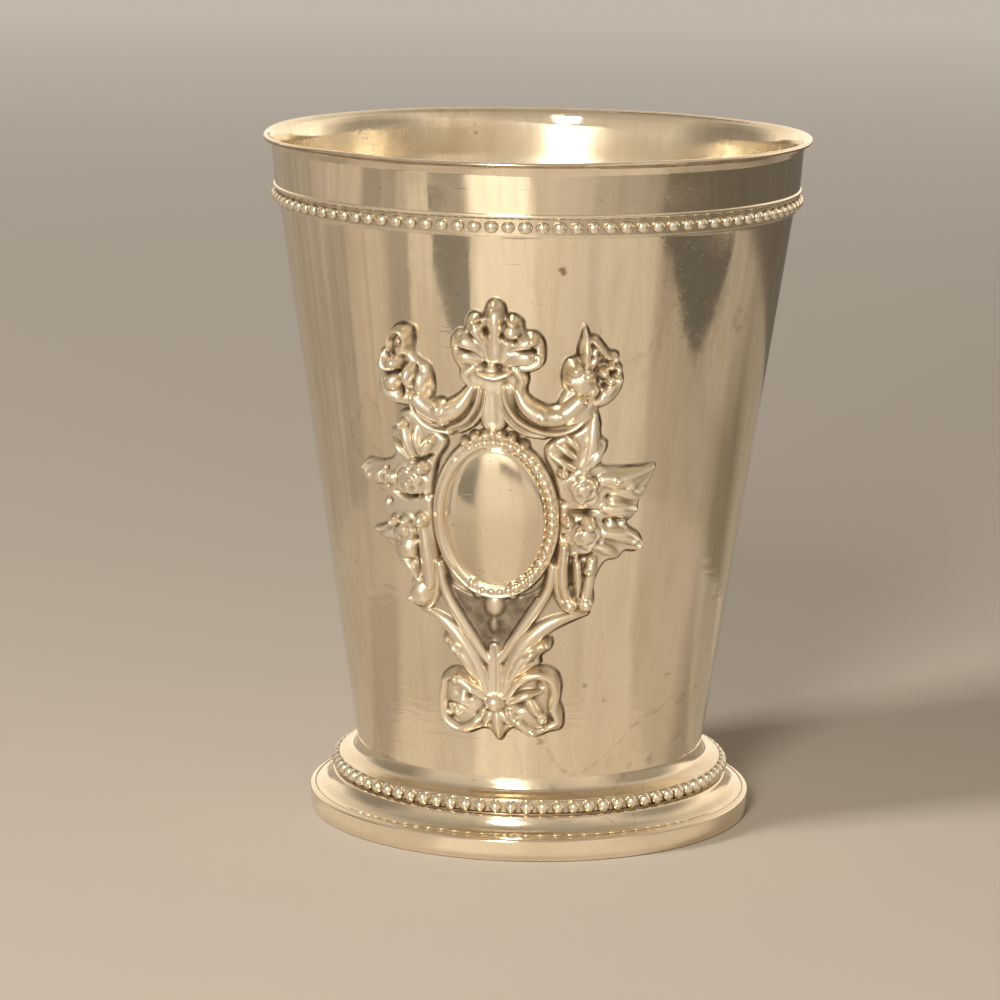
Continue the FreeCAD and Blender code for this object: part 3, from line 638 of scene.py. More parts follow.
# ---------------------------------------------------------------- foot
# Hollow foot spun from sheet: a cove down from the wall, a seat for the pearls over a dark
# groove, a smooth hollow ledge, a fine line and an upright band, turned in underneath.
foot_plate = silver("silver_plate_foot", (0.92, 0.82, 0.655), (0.75, 0.63, 0.46), (0.26, 0.18, 0.11),
                    (0.09, 0.17), clouds=0.5, stains=0.35, dents=0.35, brushing=0.4, marks=0.5)
foot_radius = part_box("foot_shell")[1].x * 1000 - 0.2
seat = wall_radius(8.3) + 2.6
foot_outline = outline([
    (foot_radius - 0.15, 0.0, 0.25), (foot_radius, 3.15, 0.4), (foot_radius - 0.7, 3.42, 0.15),
    (foot_radius - 0.85, 3.22, 0.1), (foot_radius - 1.1, 3.38, 0.1), (31.5, 3.5, 0.6), (30.5, 4.05, 0.8),
    (29.95, 4.95, 0.5), (29.7, 5.75, 0.2), (29.25, 5.9, 0.1), (29.2, 6.14, 0.1),
    (seat - 0.2, 6.14, 0), (seat - 0.2, 7.9, 0), (seat + 0.55, 7.9, 0.2), (seat + 0.5, 8.1, 0.15),
    (seat - 0.4, 8.25, 0.5), (wall_radius(8.9) + 0.75, 8.75, 0.6), (wall_radius(10.0) + 0.2, 10.0, 0.5),
    (wall_radius(11.0) - 0.12, 11.0, 0),
    (wall_radius(8.3) - 0.35, 8.3, 0), (wall_radius(5.3) - 0.35, 5.34, 0),
    (28.5, 5.34, 0.3), (28.5, 3.4, 0.3), (foot_radius - 0.8, 2.3, 0.5), (foot_radius - 0.8, 0.8, 0.2),
    (foot_radius - 1.8, 0.8, 0.2), (foot_radius - 1.8, 0.0, 0.1)], closed=True, run=1.6)
foot_zones = [
    (29.6, 31.4, 3.4, 5.7, 0.12), (25.9, 29.0, 7.95, 10.8, 0.10),  # ledge and cove
    # painted shadow in the groove under the pearls' undercut, and the fine line darkened
    (28.0, 29.5, 5.8, 6.3, 0.95), (foot_radius - 0.95, foot_radius - 0.75, 3.1, 3.35, 0.8),  # groove and line
    # a painted contact shadow along the bottom edge, and the underside darker
    (foot_radius - 0.7, 34, -0.1, 0.12, 0.8), (0, foot_radius - 0.7, -0.1, 2.4, 0.6),  # underneath
    (0, 28.6, 3.3, 5.5, 0.6)]
foot_mesh = turned("foot_spun", foot_outline, foot_plate, dull=foot_zones)
foot_shell = link_mesh("foot_spun", foot_mesh, foot_plate)
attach(foot_shell, "root")
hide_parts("foot_shell")

# ---------------------------------------------------------------- pearled moulding of the foot
# The same stamped strip in a smaller ring: eighty pearls seated in the step at the top of
# the foot and soldered from behind.
foot_pearl_count, foot_pearl_size = 80, (1.02, 1.12, 1.15)
# the strip's face between the pearls is darker
foot_strip = turned("foot_strip", outline([
    (seat - 0.1, 6.14, 0), (seat + 0.6, 6.14, 0.15), (seat + 0.6, 7.9, 0.15), (seat - 0.1, 7.9, 0)],
    closed=True), beading, dull=[(28.6, 29.0, 6.0, 8.0, 0.45)])
foot_line, foot_facing = ring_line(seat + 0.5, 7.02, lean=8)
foot_pearls = pearl_row("foot_pearls", foot_line, foot_facing, foot_pearl_count, foot_pearl_size, beading,
                        seed=9)
foot_moulding = link_mesh("foot_beading", joined("foot_beading", foot_strip, foot_pearls), beading)
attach(foot_moulding, "root")
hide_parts("foot_pearl_moulding")

# ---------------------------------------------------------------- crest palmette
# Seven-lobed palmette over a banded neck, cast in silver with the rest of the cartouche and
# soldered to the wall. Its lobes are worn round and bright, and its hollows hold dark dirt.
cast_silver = silver("silver_castings", (0.94, 0.85, 0.70), (0.78, 0.66, 0.50), (0.10, 0.062, 0.036),
                     (0.27, 0.38), clouds=0.6)
GRID = 0.12  # mm between the points of a casting's surface


def way(points, steps=12, closed=False):
    """Smooth line through places on the wall."""
    p = np.array(points, float)
    ends = (p[-1:], p[:2]) if closed else (2 * p[:1] - p[1:2], 2 * p[-1:] - p[-2:-1])
    p = np.vstack([ends[0], p, ends[1]])
    t = np.linspace(0, 1, steps, endpoint=False)[:, None]
    runs = [0.5 * (2 * b + (c - a) * t + (2 * a - 5 * b + 4 * c - d) * t ** 2
                   + (3 * b - a - 3 * c + d) * t ** 3) for a, b, c, d in zip(p, p[1:], p[2:], p[3:])]
    return np.vstack(runs + [p[-2:-1]])


def measured(path, u, z):
    """Distance from a path, and the share of its length at the nearest point."""
    lengths = np.hypot(*np.diff(path, axis=0).T)
    starts = np.concatenate([[0], np.cumsum(lengths)])
    best, share = np.full(u.shape, 1e9), np.zeros(u.shape)
    for a, b, length, start in zip(path, path[1:], lengths, starts):
        if length < 1e-6:
            continue
        d = (b - a) / length
        along = np.clip((u - a[0]) * d[0] + (z - a[1]) * d[1], 0, length)
        dist = np.hypot(u - a[0] - along * d[0], z - a[1] - along * d[1])
        near = dist < best
        best = np.where(near, dist, best)
        share = np.where(near, (start + along) / starts[-1], share)
    return best, share


def swell(start, peak, end):
    """Size along a strip as a share of its full size, full at the peak."""
    def at(t):
        first = start + (1 - start) * np.sin(np.pi / 2 * np.clip(t / peak, 0, 1))
        last = end + (1 - end) * np.sin(np.pi / 2 * np.clip((1 - t) / (1 - peak), 0, 1))
        return np.where(t < peak, first, last)
    return at


LOBE, EVEN = swell(0.4, 0.8, 0.6), swell(0.8, 0.5, 0.8)
TIP, BLUNT = swell(0.75, 0.35, 0.15), swell(0.7, 0.45, 0.45)


def strip(points, half_width, rise, width, hollow=0.0):
    """Rounded strip of metal along a line; hollow sinks its middle to a gutter."""
    path = way(points)
    reach = half_width * 1.6 + 0.8

    def at(u, z):
        inside = (np.abs(u - path[:, 0].mean()) < np.ptp(path[:, 0]) / 2 + reach + 2) & \
                 (np.abs(z - path[:, 1].mean()) < np.ptp(path[:, 1]) / 2 + reach + 2)
        result = np.full(u.shape, -9.0)
        dist, t = measured(path, u[inside], z[inside])
        w = np.maximum(half_width * width(t), 0.08)
        a = dist / w
        top = rise * (0.3 + 0.7 * width(t)) * np.maximum(1 - a ** 2.3, 0) ** 0.5
        top = top * (1 - hollow * np.exp(-(a / 0.5) ** 2))
        result[inside] = np.where(a < 1, top, 1.6 * (w - dist))
        return result
    at.low, at.high = path.min(0) - half_width, path.max(0) + half_width
    return at


def lump(place, radius, rise, stretch=1.0, turn=0.0):
    """Rounded lump, stretched and turned by degrees."""
    c, s = math.cos(math.radians(turn)), math.sin(math.radians(turn))

    def at(u, z):
        x = (u - place[0]) * c + (z - place[1]) * s
        y = (-(u - place[0]) * s + (z - place[1]) * c) / stretch
        r = np.hypot(x, y) / radius
        return np.where(r < 1, rise * np.sqrt(np.maximum(1 - r ** 2, 0)), 1.6 * radius * (1 - r))
    big = radius * max(stretch, 1)
    at.low, at.high = np.array(place) - big, np.array(place) + big
    return at


def ground(points, rise, soft=0.6):
    """The thin plate of metal that carries a casting's lumps, with a rounded edge."""
    path = way(points, steps=5, closed=True)

    def at(u, z):
        dist, _ = measured(path, u, z)
        inside = np.zeros(u.shape, bool)
        for (ax, az), (bx, bz) in zip(path, np.roll(path, -1, axis=0)):
            if az != bz:
                crossed = (az > z) != (bz > z)
                inside ^= crossed & (u < (bx - ax) * (z - az) / (bz - az) + ax)
        edge = 1 - np.clip(dist / soft, 0, 1)
        return np.where(inside, rise * np.sqrt(1 - edge ** 2), -1.6 * dist)
    at.low, at.high = path.min(0), path.max(0)
    return at


def line_cut(points, half_width, depth):
    """Groove along a line, fading at its ends."""
    path = way(points)

    def at(u, z):
        dist, t = measured(path, u, z)
        return depth * swell(0.4, 0.5, 0.4)(t) * np.exp(-(dist / half_width) ** 2)
    return at


def pit(place, radius, depth):
    """Small round hollow."""
    def at(u, z):
        return depth * np.exp(-((u - place[0]) ** 2 + (z - place[1]) ** 2) / radius ** 2)
    return at


def blurred(field, cells):
    """Box blur, three times over, of a grid of heights."""
    for _ in range(3):
        for axis in (0, 1):
            wide = np.concatenate([np.repeat(np.take(field, [0], axis), cells + 1, axis), field,
                                   np.repeat(np.take(field, [-1], axis), cells, axis)], axis)
            sums = np.cumsum(wide, axis)
            upper = np.take(sums, range(2 * cells + 1, sums.shape[axis]), axis)
            lower = np.take(sums, range(0, sums.shape[axis] - 2 * cells - 1), axis)
            field = (upper - lower) / (2 * cells + 1)
    return field


def relief(forms, cuts, blend, softened):
    """Heights of a casting over a grid of places on the wall: its forms joined, cut and worn soft."""
    margin, first_cut, left_in_cut = 1.2, 0.15, 0.12
    low = np.min([form.low for form in forms], 0) - margin
    high = np.max([form.high for form in forms], 0) + margin
    u, z = np.meshgrid(np.arange(low[0], high[0], GRID), np.arange(low[1], high[1], GRID))
    heights = np.stack([form(u, z) for form in forms])
    top = heights.max(0)
    field = top + blend * np.log(np.exp((heights - top) / blend).sum(0))
    for cut in cuts:
        field = np.where(field > first_cut, np.maximum(field - 0.8 * cut(u, z), left_in_cut), field)
    field = blurred(field, softened) if softened > 1 else 0.5 * field + 0.5 * blurred(field, 1)
    return u, z, field


def dirt_and_shade_on(field, u, z, patina):
    """Darkness from 0 to 1: grime in hollows wide and fine, grime and painted shadow round the outline, and
    over a patina's field.
    """
    metal, broad = np.maximum(field, 0), blurred(field, 2)
    # slopes that face down or to the right, away from the light, get more painted shadow round the outline
    shadow_side = np.clip(0.6 * np.gradient(broad, GRID, axis=0) - 0.9 * np.gradient(broad, GRID, axis=1), 0, 1)
    dirt_and_shade = np.clip((blurred(metal, 4) - metal - 0.05) * 1.5, 0, 0.9)
    dirt_and_shade = np.maximum(dirt_and_shade, np.clip((blurred(metal, 2) - metal - 0.04) * 4.0, 0, 0.95))
    # round the outline: grime at the solder, and painted shadow that is strongest on the shadow side
    edge = np.clip(1.1 - metal / 0.8, 0, 1) * np.clip(1.35 + field / 0.8, 0, 1)
    dirt_and_shade = np.maximum(dirt_and_shade, edge * (0.4 + 0.6 * shadow_side))
    if patina:
        inside = np.clip(ground(patina, 1.0, soft=0.3)(u, z), 0, 1)
        dirt_and_shade = np.maximum(dirt_and_shade, 0.82 * inside * np.clip((1.25 - field) / 0.4, 0, 1))
    return dirt_and_shade


def on_wall(u, z):
    """Points on the outside of the wall at some places, and the way out of the metal at each."""
    bearing, slope = u / wall_radius(z), math.atan(wall_slope)
    spoke = np.stack([np.sin(bearing), -np.cos(bearing), 0 * bearing], 1)
    point = spoke * wall_radius(z)[:, None] + np.array([0, 0, 1.0]) * z[:, None]
    return point, spoke * math.cos(slope) - np.array([0, 0, math.sin(slope)])


def cast_on_wall(name, forms, cuts=(), blend=0.13, patina=None, softened=1):
    """Closed mesh of a casting seated on the tapered wall, with its hollows marked for grime and its outline
    for grime and painted shadow.
    """
    u, z, field = relief(forms, cuts, blend, softened)
    dirt_and_shade = dirt_and_shade_on(field, u, z, patina)
    thinnest, solder_reach, solder_rise, sunk = 0.09, 0.8, 0.10, 0.35
    fillet = (1 + np.clip(field, -solder_reach, 0) / solder_reach) ** 2
    solder = np.where(field > -solder_reach, solder_rise * fillet - 0.01, -0.3)
    skin = np.where(field > 0, np.maximum(field, thinnest), solder)

    # the squares of the grid that are metal, their points, and the edges round them
    keep = skin > -0.02
    rows, columns = np.nonzero(keep[:-1, :-1] & keep[1:, :-1] & keep[:-1, 1:] & keep[1:, 1:])
    number = np.arange(u.size).reshape(u.shape)
    quads = np.stack([number[rows, columns], number[rows, columns + 1],
                      number[rows + 1, columns + 1], number[rows + 1, columns]], 1)
    used, quads = np.unique(quads, return_inverse=True)
    quads = quads.reshape(-1, 4)
    edges = np.concatenate([quads[:, [k, (k + 1) % 4]] for k in range(4)])
    _, first, times = np.unique(np.sort(edges, 1), axis=0, return_index=True, return_counts=True)
    rim = edges[first[times == 1]]

    # a front skin, the same squares sunk in the wall as a back, and a strip round the edge
    foot, out = on_wall(u.ravel()[used], z.ravel()[used])
    front = foot + out * skin.ravel()[used][:, None]
    back = foot - out * sunk
    total = len(used)
    faces = np.concatenate([quads, quads[:, ::-1] + total,
                            np.stack([rim[:, 1], rim[:, 0], rim[:, 0] + total, rim[:, 1] + total], 1)])
    mesh = bpy.data.meshes.new(name)
    points = (np.concatenate([front, back]) / 1000).astype(np.float32)
    mesh.vertices.add(len(points))
    mesh.vertices.foreach_set("co", points.ravel())
    mesh.loops.add(faces.size)
    mesh.loops.foreach_set("vertex_index", faces.astype(np.int32).ravel())
    mesh.polygons.add(len(faces))
    mesh.polygons.foreach_set("loop_start", np.arange(0, faces.size, 4, dtype=np.int32))
    mesh.polygons.foreach_set("use_smooth", np.ones(len(faces), bool))
    mesh.update(calc_edges=True)
    mesh.validate()
    mark(mesh, hollow=np.tile(dirt_and_shade.ravel()[used], 2))
    return mesh


def casting(name, forms, cuts=(), patina=None):
    """One casting of the cartouche, in its place on the wall."""
    return link_mesh(name, cast_on_wall(name, forms, cuts, patina=patina), cast_silver)


crest_forms = [
    ground([(0.6, 82.4), (1.6, 81.6), (2.0, 80.2), (3.0, 80.3), (4.2, 79.4), (4.5, 78.0), (5.8, 77.9),
            (6.9, 76.9), (7.3, 75.2), (7.0, 73.6), (5.6, 72.6), (4.7, 72.0), (4.7, 70.6), (4.3, 69.0),
            (2.0, 69.0), (0.0, 68.6), (-2.2, 69.4), (-4.2, 70.4), (-4.6, 72.0), (-5.5, 73.4), (-5.9, 75.0),
            (-5.9, 76.4), (-5.0, 77.7), (-3.9, 77.9), (-3.5, 79.6), (-2.6, 80.4), (-1.4, 79.9),
            (-0.9, 80.8), (-0.3, 82.0)], 1.0),
    # the seven lobes, from the middle down, and the roll under the lowest right one
    strip([(0.3, 74.5), (0.45, 78.0), (0.5, 81.1)], 1.3, 2.4, swell(0.5, 0.7, 0.75)),
    strip([(1.3, 74.8), (2.5, 77.2), (3.0, 78.8)], 1.25, 2.6, LOBE),
    strip([(-0.8, 75.0), (-1.8, 77.4), (-2.4, 79.0)], 1.15, 2.5, LOBE),
    strip([(2.0, 74.4), (4.0, 76.1), (5.5, 76.6)], 1.3, 2.8, LOBE),
    strip([(-1.4, 74.6), (-3.2, 76.0), (-4.5, 76.4)], 1.3, 2.5, LOBE),
    strip([(1.8, 73.2), (4.2, 74.3), (5.8, 74.3)], 1.4, 2.4, LOBE),
    strip([(6.3, 74.9), (6.4, 73.7), (5.2, 72.9), (3.9, 72.8)], 0.75, 2.1, EVEN),
    strip([(-1.6, 73.2), (-3.4, 74.0), (-4.6, 74.1)], 1.2, 2.0, LOBE),
    # the swell they spring from, and their rounded tips
    lump((0.7, 75.4), 2.7, 2.0, 1.05),
    lump((2.85, 79.3), 0.9, 2.9), lump((-2.4, 79.5), 0.85, 2.8), lump((5.5, 76.9), 0.95, 3.1),
    lump((0.2, 81.3), 0.8, 2.6),
    # a curl on each side of the neck, the band over it, and the neck
    strip([(3.0, 72.6), (4.1, 71.2), (3.8, 69.8), (4.2, 68.4)], 0.8, 1.9, EVEN),
    strip([(-2.6, 72.6), (-3.9, 71.4), (-3.1, 70.0)], 0.75, 1.7, EVEN),
    strip([(-1.9, 71.8), (0.2, 71.35), (2.3, 71.9)], 0.55, 2.3, EVEN),
    strip([(0.1, 71.2), (0.0, 68.0), (0.0, 64.8)], 2.1, 1.4, swell(0.6, 0.8, 0.9), hollow=0.35),
]
crest_cuts = [
    pit((-1.2, 72.9), 0.5, 1.5), pit((0.9, 72.7), 0.5, 1.5), pit((-0.6, 77.9), 0.55, 0.7),
    line_cut([(1.3, 77.5), (2.4, 77.0), (3.4, 76.8)], 0.28, 1.5),
    line_cut([(2.6, 75.1), (4.5, 75.5), (6.5, 74.9)], 0.25, 1.4),
    line_cut([(-2.0, 74.7), (-3.6, 75.2), (-5.5, 75.2)], 0.25, 1.2),
    line_cut([(-1.4, 76.2), (-2.6, 77.3), (-3.4, 77.6)], 0.22, 1.0),
    line_cut([(-0.3, 73.4), (-0.6, 75.4), (-0.6, 77.0)], 0.2, 0.5),
    line_cut([(0.8, 73.4), (1.3, 75.2), (1.6, 77.6)], 0.2, 0.5),
    line_cut([(1.8, 70.6), (2.2, 69.2), (2.9, 67.8)], 0.4, 1.3),
]
crest = casting("crest_palmette_cast", crest_forms, crest_cuts)
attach(crest, "root")
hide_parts("crest_palmette")

# ---------------------------------------------------------------- scroll arms
# Two C-scrolls that spring from the crest's neck and carry the buds. Each is a gutter with a
# fat rolled upper edge and a fine double line below, cast and soldered like the crest.
arm_right_forms = [
    ground([(2.4, 70.6), (4.3, 69.0), (4.5, 67.8), (5.6, 67.1), (8.6, 67.1), (9.4, 68.4), (10.4, 69.6),
            (12.6, 69.2), (14.7, 67.2), (13.6, 65.2), (10.6, 63.0), (7.4, 62.4), (3.9, 63.1), (1.6, 65.4),
            (0.8, 68.4)], 1.0),
    # the fat roll with its swellings
    strip([(3.4, 69.4), (4.7, 67.1), (7.0, 65.7), (9.6, 66.0), (11.8, 67.8)], 1.5, 2.7,
          swell(0.45, 0.45, 0.9)),
    lump((6.8, 65.7), 1.2, 3.1, 1.2), lump((9.2, 66.0), 0.9, 2.9),
    # the double line below, and the joint to the bud
    strip([(1.4, 70.2), (1.9, 67.5), (3.4, 65.2), (5.8, 63.8), (8.4, 63.3), (11.0, 63.9), (13.4, 65.9)],
          0.5, 2.0, EVEN),
    strip([(0.7, 69.2), (1.0, 66.8), (2.3, 64.6), (4.4, 63.1), (7.0, 62.6)], 0.35, 1.5, EVEN),
    strip([(10.4, 65.2), (12.4, 66.4), (14.0, 68.0)], 1.5, 2.0, BLUNT),
]
arm_right = casting("scroll_arm_right_cast", arm_right_forms, [
    line_cut([(2.6, 68.6), (3.7, 66.0), (6.2, 64.4)], 0.3, 0.7)])
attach(arm_right, "root")
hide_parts("scroll_arm_right")

arm_left_forms = [
    ground([(-2.2, 70.6), (-3.4, 68.7), (-4.6, 67.6), (-6.3, 67.1), (-8.6, 67.7), (-10.0, 67.4),
            (-12.0, 67.6), (-12.4, 66.0), (-11.0, 64.0), (-8.4, 62.6), (-5.6, 62.8), (-3.4, 64.0),
            (-1.8, 66.2), (-1.2, 69.0)], 1.0),
    # the fat roll with its swellings
    strip([(-2.9, 69.6), (-4.6, 67.0), (-7.0, 65.6), (-9.4, 66.2), (-11.0, 67.4)], 1.5, 2.7,
          swell(0.4, 0.5, 0.8)),
    lump((-7.5, 66.4), 1.2, 3.0), lump((-7.0, 64.9), 1.2, 2.8), lump((-4.6, 67.0), 0.8, 2.5),
    # the double line below, and another towards the bud
    strip([(-1.7, 70.0), (-2.3, 67.2), (-3.9, 64.8), (-6.4, 63.4)], 0.45, 1.9, EVEN),
    strip([(-0.9, 69.2), (-1.3, 66.8), (-2.7, 64.4), (-4.8, 63.0)], 0.35, 1.5, EVEN),
    strip([(-12.2, 67.2), (-11.2, 65.0), (-9.2, 63.4), (-6.2, 62.8)], 0.5, 1.9, EVEN),
    strip([(-11.2, 67.2), (-10.4, 65.4), (-8.8, 64.2)], 0.4, 1.9, EVEN),
]
arm_left = casting("scroll_arm_left_cast", arm_left_forms)
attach(arm_left, "root")
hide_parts("scroll_arm_left")

# ---------------------------------------------------------------- acanthus buds
# Bursting buds at the ends of the scrolls: fat rounded lumps with short tongues above them,
# cast from a worn pattern, so that no edge is sharp.
bud_right_forms = [
    ground([(12.9, 78.7), (13.6, 77.2), (14.5, 77.2), (15.5, 76.0), (16.4, 74.9), (17.5, 74.6),
            (17.5, 73.0), (18.2, 71.4), (18.1, 69.8), (16.9, 68.0), (14.8, 66.9), (12.0, 67.2),
            (10.2, 69.0), (9.6, 71.4), (10.2, 73.7), (11.9, 74.4), (12.3, 76.2)], 1.2),
    # the ball of the bud
    lump((12.2, 71.0), 2.4, 3.2, 1.05), lump((11.3, 72.7), 1.2, 3.4), lump((10.8, 71.1), 1.0, 2.9),
    lump((12.8, 72.0), 1.1, 3.6), lump((13.6, 69.6), 1.2, 2.9),
    # tongues above it
    strip([(12.9, 73.2), (12.9, 75.6), (13.05, 78.0)], 0.9, 2.6, TIP),
    strip([(13.9, 76.7), (14.9, 75.5), (15.9, 74.2)], 0.6, 2.5, EVEN),
    strip([(13.6, 73.0), (14.0, 75.0), (14.2, 76.4)], 0.7, 2.4, TIP),
    # the crumpled leaf to its right, and its cup
    lump((16.9, 74.1), 0.75, 2.4), lump((17.3, 72.4), 0.8, 2.2), lump((17.4, 70.8), 0.85, 2.2),
    lump((16.2, 73.1), 0.8, 2.8), lump((15.1, 72.2), 1.0, 3.1), lump((16.1, 71.0), 0.9, 2.6),
    strip([(12.6, 68.2), (15.2, 68.5), (17.2, 70.2)], 1.3, 2.1, BLUNT),
]
bud_right = casting("acanthus_bud_right_cast", bud_right_forms, [
    line_cut([(10.2, 70.2), (11.6, 68.5), (13.6, 67.9), (14.6, 69.3)], 0.3, 1.8),
    pit((14.7, 71.1), 0.5, 0.9), pit((16.6, 72.2), 0.45, 0.8), pit((13.6, 74.4), 0.4, 0.8),
    line_cut([(14.9, 73.6), (15.6, 73.9), (16.0, 73.6)], 0.25, 1.0), pit((15.4, 70.2), 0.35, 1.1)])
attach(bud_right, "root")
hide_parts("acanthus_bud_right")

bud_left_forms = [
    ground([(-13.0, 78.0), (-12.0, 77.5), (-11.7, 75.8), (-11.9, 74.3), (-10.9, 73.1), (-9.4, 72.3),
            (-8.8, 70.2), (-8.8, 68.0), (-10.4, 66.6), (-12.4, 66.0), (-14.8, 66.4), (-16.8, 67.2),
            (-17.7, 69.0), (-17.3, 71.0), (-17.4, 73.4), (-16.3, 74.5), (-15.7, 76.2), (-14.4, 77.5)], 1.2),
    # the hook at the top
    strip([(-15.0, 74.4), (-15.0, 76.0), (-13.9, 77.2), (-12.8, 77.1), (-12.4, 75.8), (-12.9, 74.6)],
          0.62, 2.8, EVEN),
    # lumps and folds of the bud
    lump((-13.9, 72.7), 1.25, 3.6), lump((-11.7, 70.9), 1.15, 3.6, 1.8), lump((-10.3, 69.8), 1.4, 2.6, 1.5),
    strip([(-14.6, 71.4), (-16.1, 71.6), (-16.8, 73.4)], 0.85, 2.4, BLUNT),
    strip([(-13.4, 67.2), (-15.7, 67.8), (-17.0, 69.6)], 1.25, 2.2, BLUNT),
    lump((-14.7, 69.7), 1.7, 2.8), lump((-13.2, 74.4), 1.1, 2.4), lump((-12.0, 67.4), 1.2, 2.3),
]
bud_left = casting("acanthus_bud_left_cast", bud_left_forms, [
    line_cut([(-15.7, 75.4), (-15.8, 74.0), (-15.3, 72.6)], 0.3, 1.6), pit((-13.2, 75.9), 0.45, 1.6),
    line_cut([(-17.0, 71.2), (-15.2, 70.9), (-13.6, 71.4)], 0.22, 1.2),
    line_cut([(-13.4, 69.6), (-13.3, 68.2), (-13.1, 66.8)], 0.28, 1.4),
    line_cut([(-12.3, 68.6), (-12.1, 67.4), (-12.0, 66.3)], 0.22, 1.0),
    line_cut([(-10.9, 72.6), (-10.8, 70.6), (-11.0, 68.8)], 0.2, 0.8)])
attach(bud_left, "root")
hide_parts("acanthus_bud_left")

# ---------------------------------------------------------------- oval boss
# Plain oval boss, domed from sheet over a stake and left blank for initials. It is as
# smooth as the wall, so it shows the same soft reflections in small.
boss_level, boss_wide, boss_tall = 50.5, 7.6, 10.7
boss_plate = silver("silver_boss", (0.93, 0.83, 0.665), (0.77, 0.65, 0.48), (0.42, 0.31, 0.19), (0.06, 0.13),
                    clouds=0.6, streaks=0.3, stains=0.7, dents=0.9, marks=0.3,
                    nicks=[((0.6, -32.6, 41.3), 1.3, 0.35), ((-1.8, -32.4, 42.0), 0.9, 0.25)])


def boss_dome(u, z):
    """Height of the boss over the wall: a low dome that falls steeply at its edge."""
    x, y = u / boss_wide, (z - boss_level) / boss_tall
    r = np.hypot(x, y)
    across, along = np.clip(np.abs(x), 0, 1), np.clip(np.abs(y), 0, 1)
    fall = np.sqrt(1 - np.clip(r, 0, 1) ** 8)
    dome = 0.6 + (1.05 * (1 - along ** 1.3) + 0.22 * (1 - across ** 2)) * fall
    return np.where(r < 1, dome, 1.6 * boss_wide * (1 - r))


boss_dome.low = np.array((-boss_wide, boss_level - boss_tall))
boss_dome.high = np.array((boss_wide, boss_level + boss_tall))
boss_mesh = cast_on_wall("oval_boss_blank", [boss_dome], blend=0.05, softened=3)
boss = link_mesh("oval_boss_blank", boss_mesh, boss_plate)
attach(boss, "root")
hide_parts("oval_boss")

# ---------------------------------------------------------------- pearled frame of the oval
# Narrow band with a row of small pearls and a fine rim outside it, soldered round the boss.
# Seven larger lumps sit at its top, and the pearls on its left are worn nearly flat.
frame_wide, frame_tall, frame_pearl_count, frame_pearl_size = 8.05, 11.1, 49, (0.82, 0.82, 0.95)
rim_wide, rim_tall = 8.8, 11.9


def oval(wide, tall, count):
    """Places round an oval about the boss's middle, clockwise from its top."""
    turns = np.linspace(0, 2 * math.pi, count, endpoint=False)
    return wide * np.sin(turns), boss_level + tall * np.cos(turns), turns


def oval_strip(wide, tall, half_width, rise):
    """Rounded strip of metal round an oval."""
    across, up_wall, _ = oval(wide, tall, 40)
    path = way(np.stack([across, up_wall], 1), steps=4, closed=True)

    def at(u, z):
        dist, _ = measured(path, u, z)
        a = dist / half_width
        return np.where(a < 1, rise * np.maximum(1 - a ** 2.3, 0) ** 0.5, 1.6 * (half_width - dist))
    at.low, at.high = path.min(0) - half_width, path.max(0) + half_width
    return at


frame_forms = [
    oval_strip(frame_wide, frame_tall, 1.0, 0.95), oval_strip(rim_wide, rim_tall, 0.32, 1.15),
    # three of the larger lumps at the top
    lump((-1.05, 62.7), 0.8, 2.0), lump((0.0, 63.2), 0.85, 2.3), lump((1.05, 62.7), 0.8, 2.0),
    # thicker stretches at the sides, lumps at the bottom, and the other four at the top
    strip([(-5.6, 58.6), (-7.5, 54.6), (-8.1, 50.4), (-7.6, 46.0), (-6.2, 43.0)], 0.7, 1.35, EVEN),
    strip([(6.4, 57.4), (7.8, 53.6), (8.1, 50.0), (7.7, 46.4)], 0.8, 1.2, EVEN),
    lump((3.9, 41.0), 0.9, 1.7), lump((2.5, 40.2), 0.8, 1.5), lump((5.2, 42.1), 0.85, 1.7),
    lump((-3.4, 40.6), 0.8, 1.4),
    lump((-2.6, 62.4), 0.75, 2.1), lump((2.6, 62.4), 0.75, 2.1), lump((-4.0, 61.5), 0.75, 2.0),
    lump((4.1, 61.3), 0.8, 2.1),
]
band = cast_on_wall("oval_band", frame_forms, blend=0.12)
across, up_wall, turns = oval(frame_wide, frame_tall, 400)
frame_line, frame_facing = on_wall(across, up_wall)
frame_line += frame_facing * 0.65
worn_left = np.clip(0.62 * np.clip(0.35 - np.sin(turns), 0, 1) + 0.12 * np.sin(7 * turns), 0, 0.8)
oval_pearls = pearl_row("oval_pearls", frame_line, frame_facing, frame_pearl_count, frame_pearl_size,
                        cast_silver, seed=2, worn=worn_left, uneven=0.16)
oval_frame = link_mesh("oval_frame_pearled", joined("oval_frame_pearled", band, oval_pearls), cast_silver)
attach(oval_frame, "root")
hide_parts("oval_pearl_frame")

# ---------------------------------------------------------------- flower sprays
# On each side of the oval two open roses, one over the other, with leaves spreading to the
# side and a heavy bud hanging below. Cast, worn smooth, and dark between the petals.


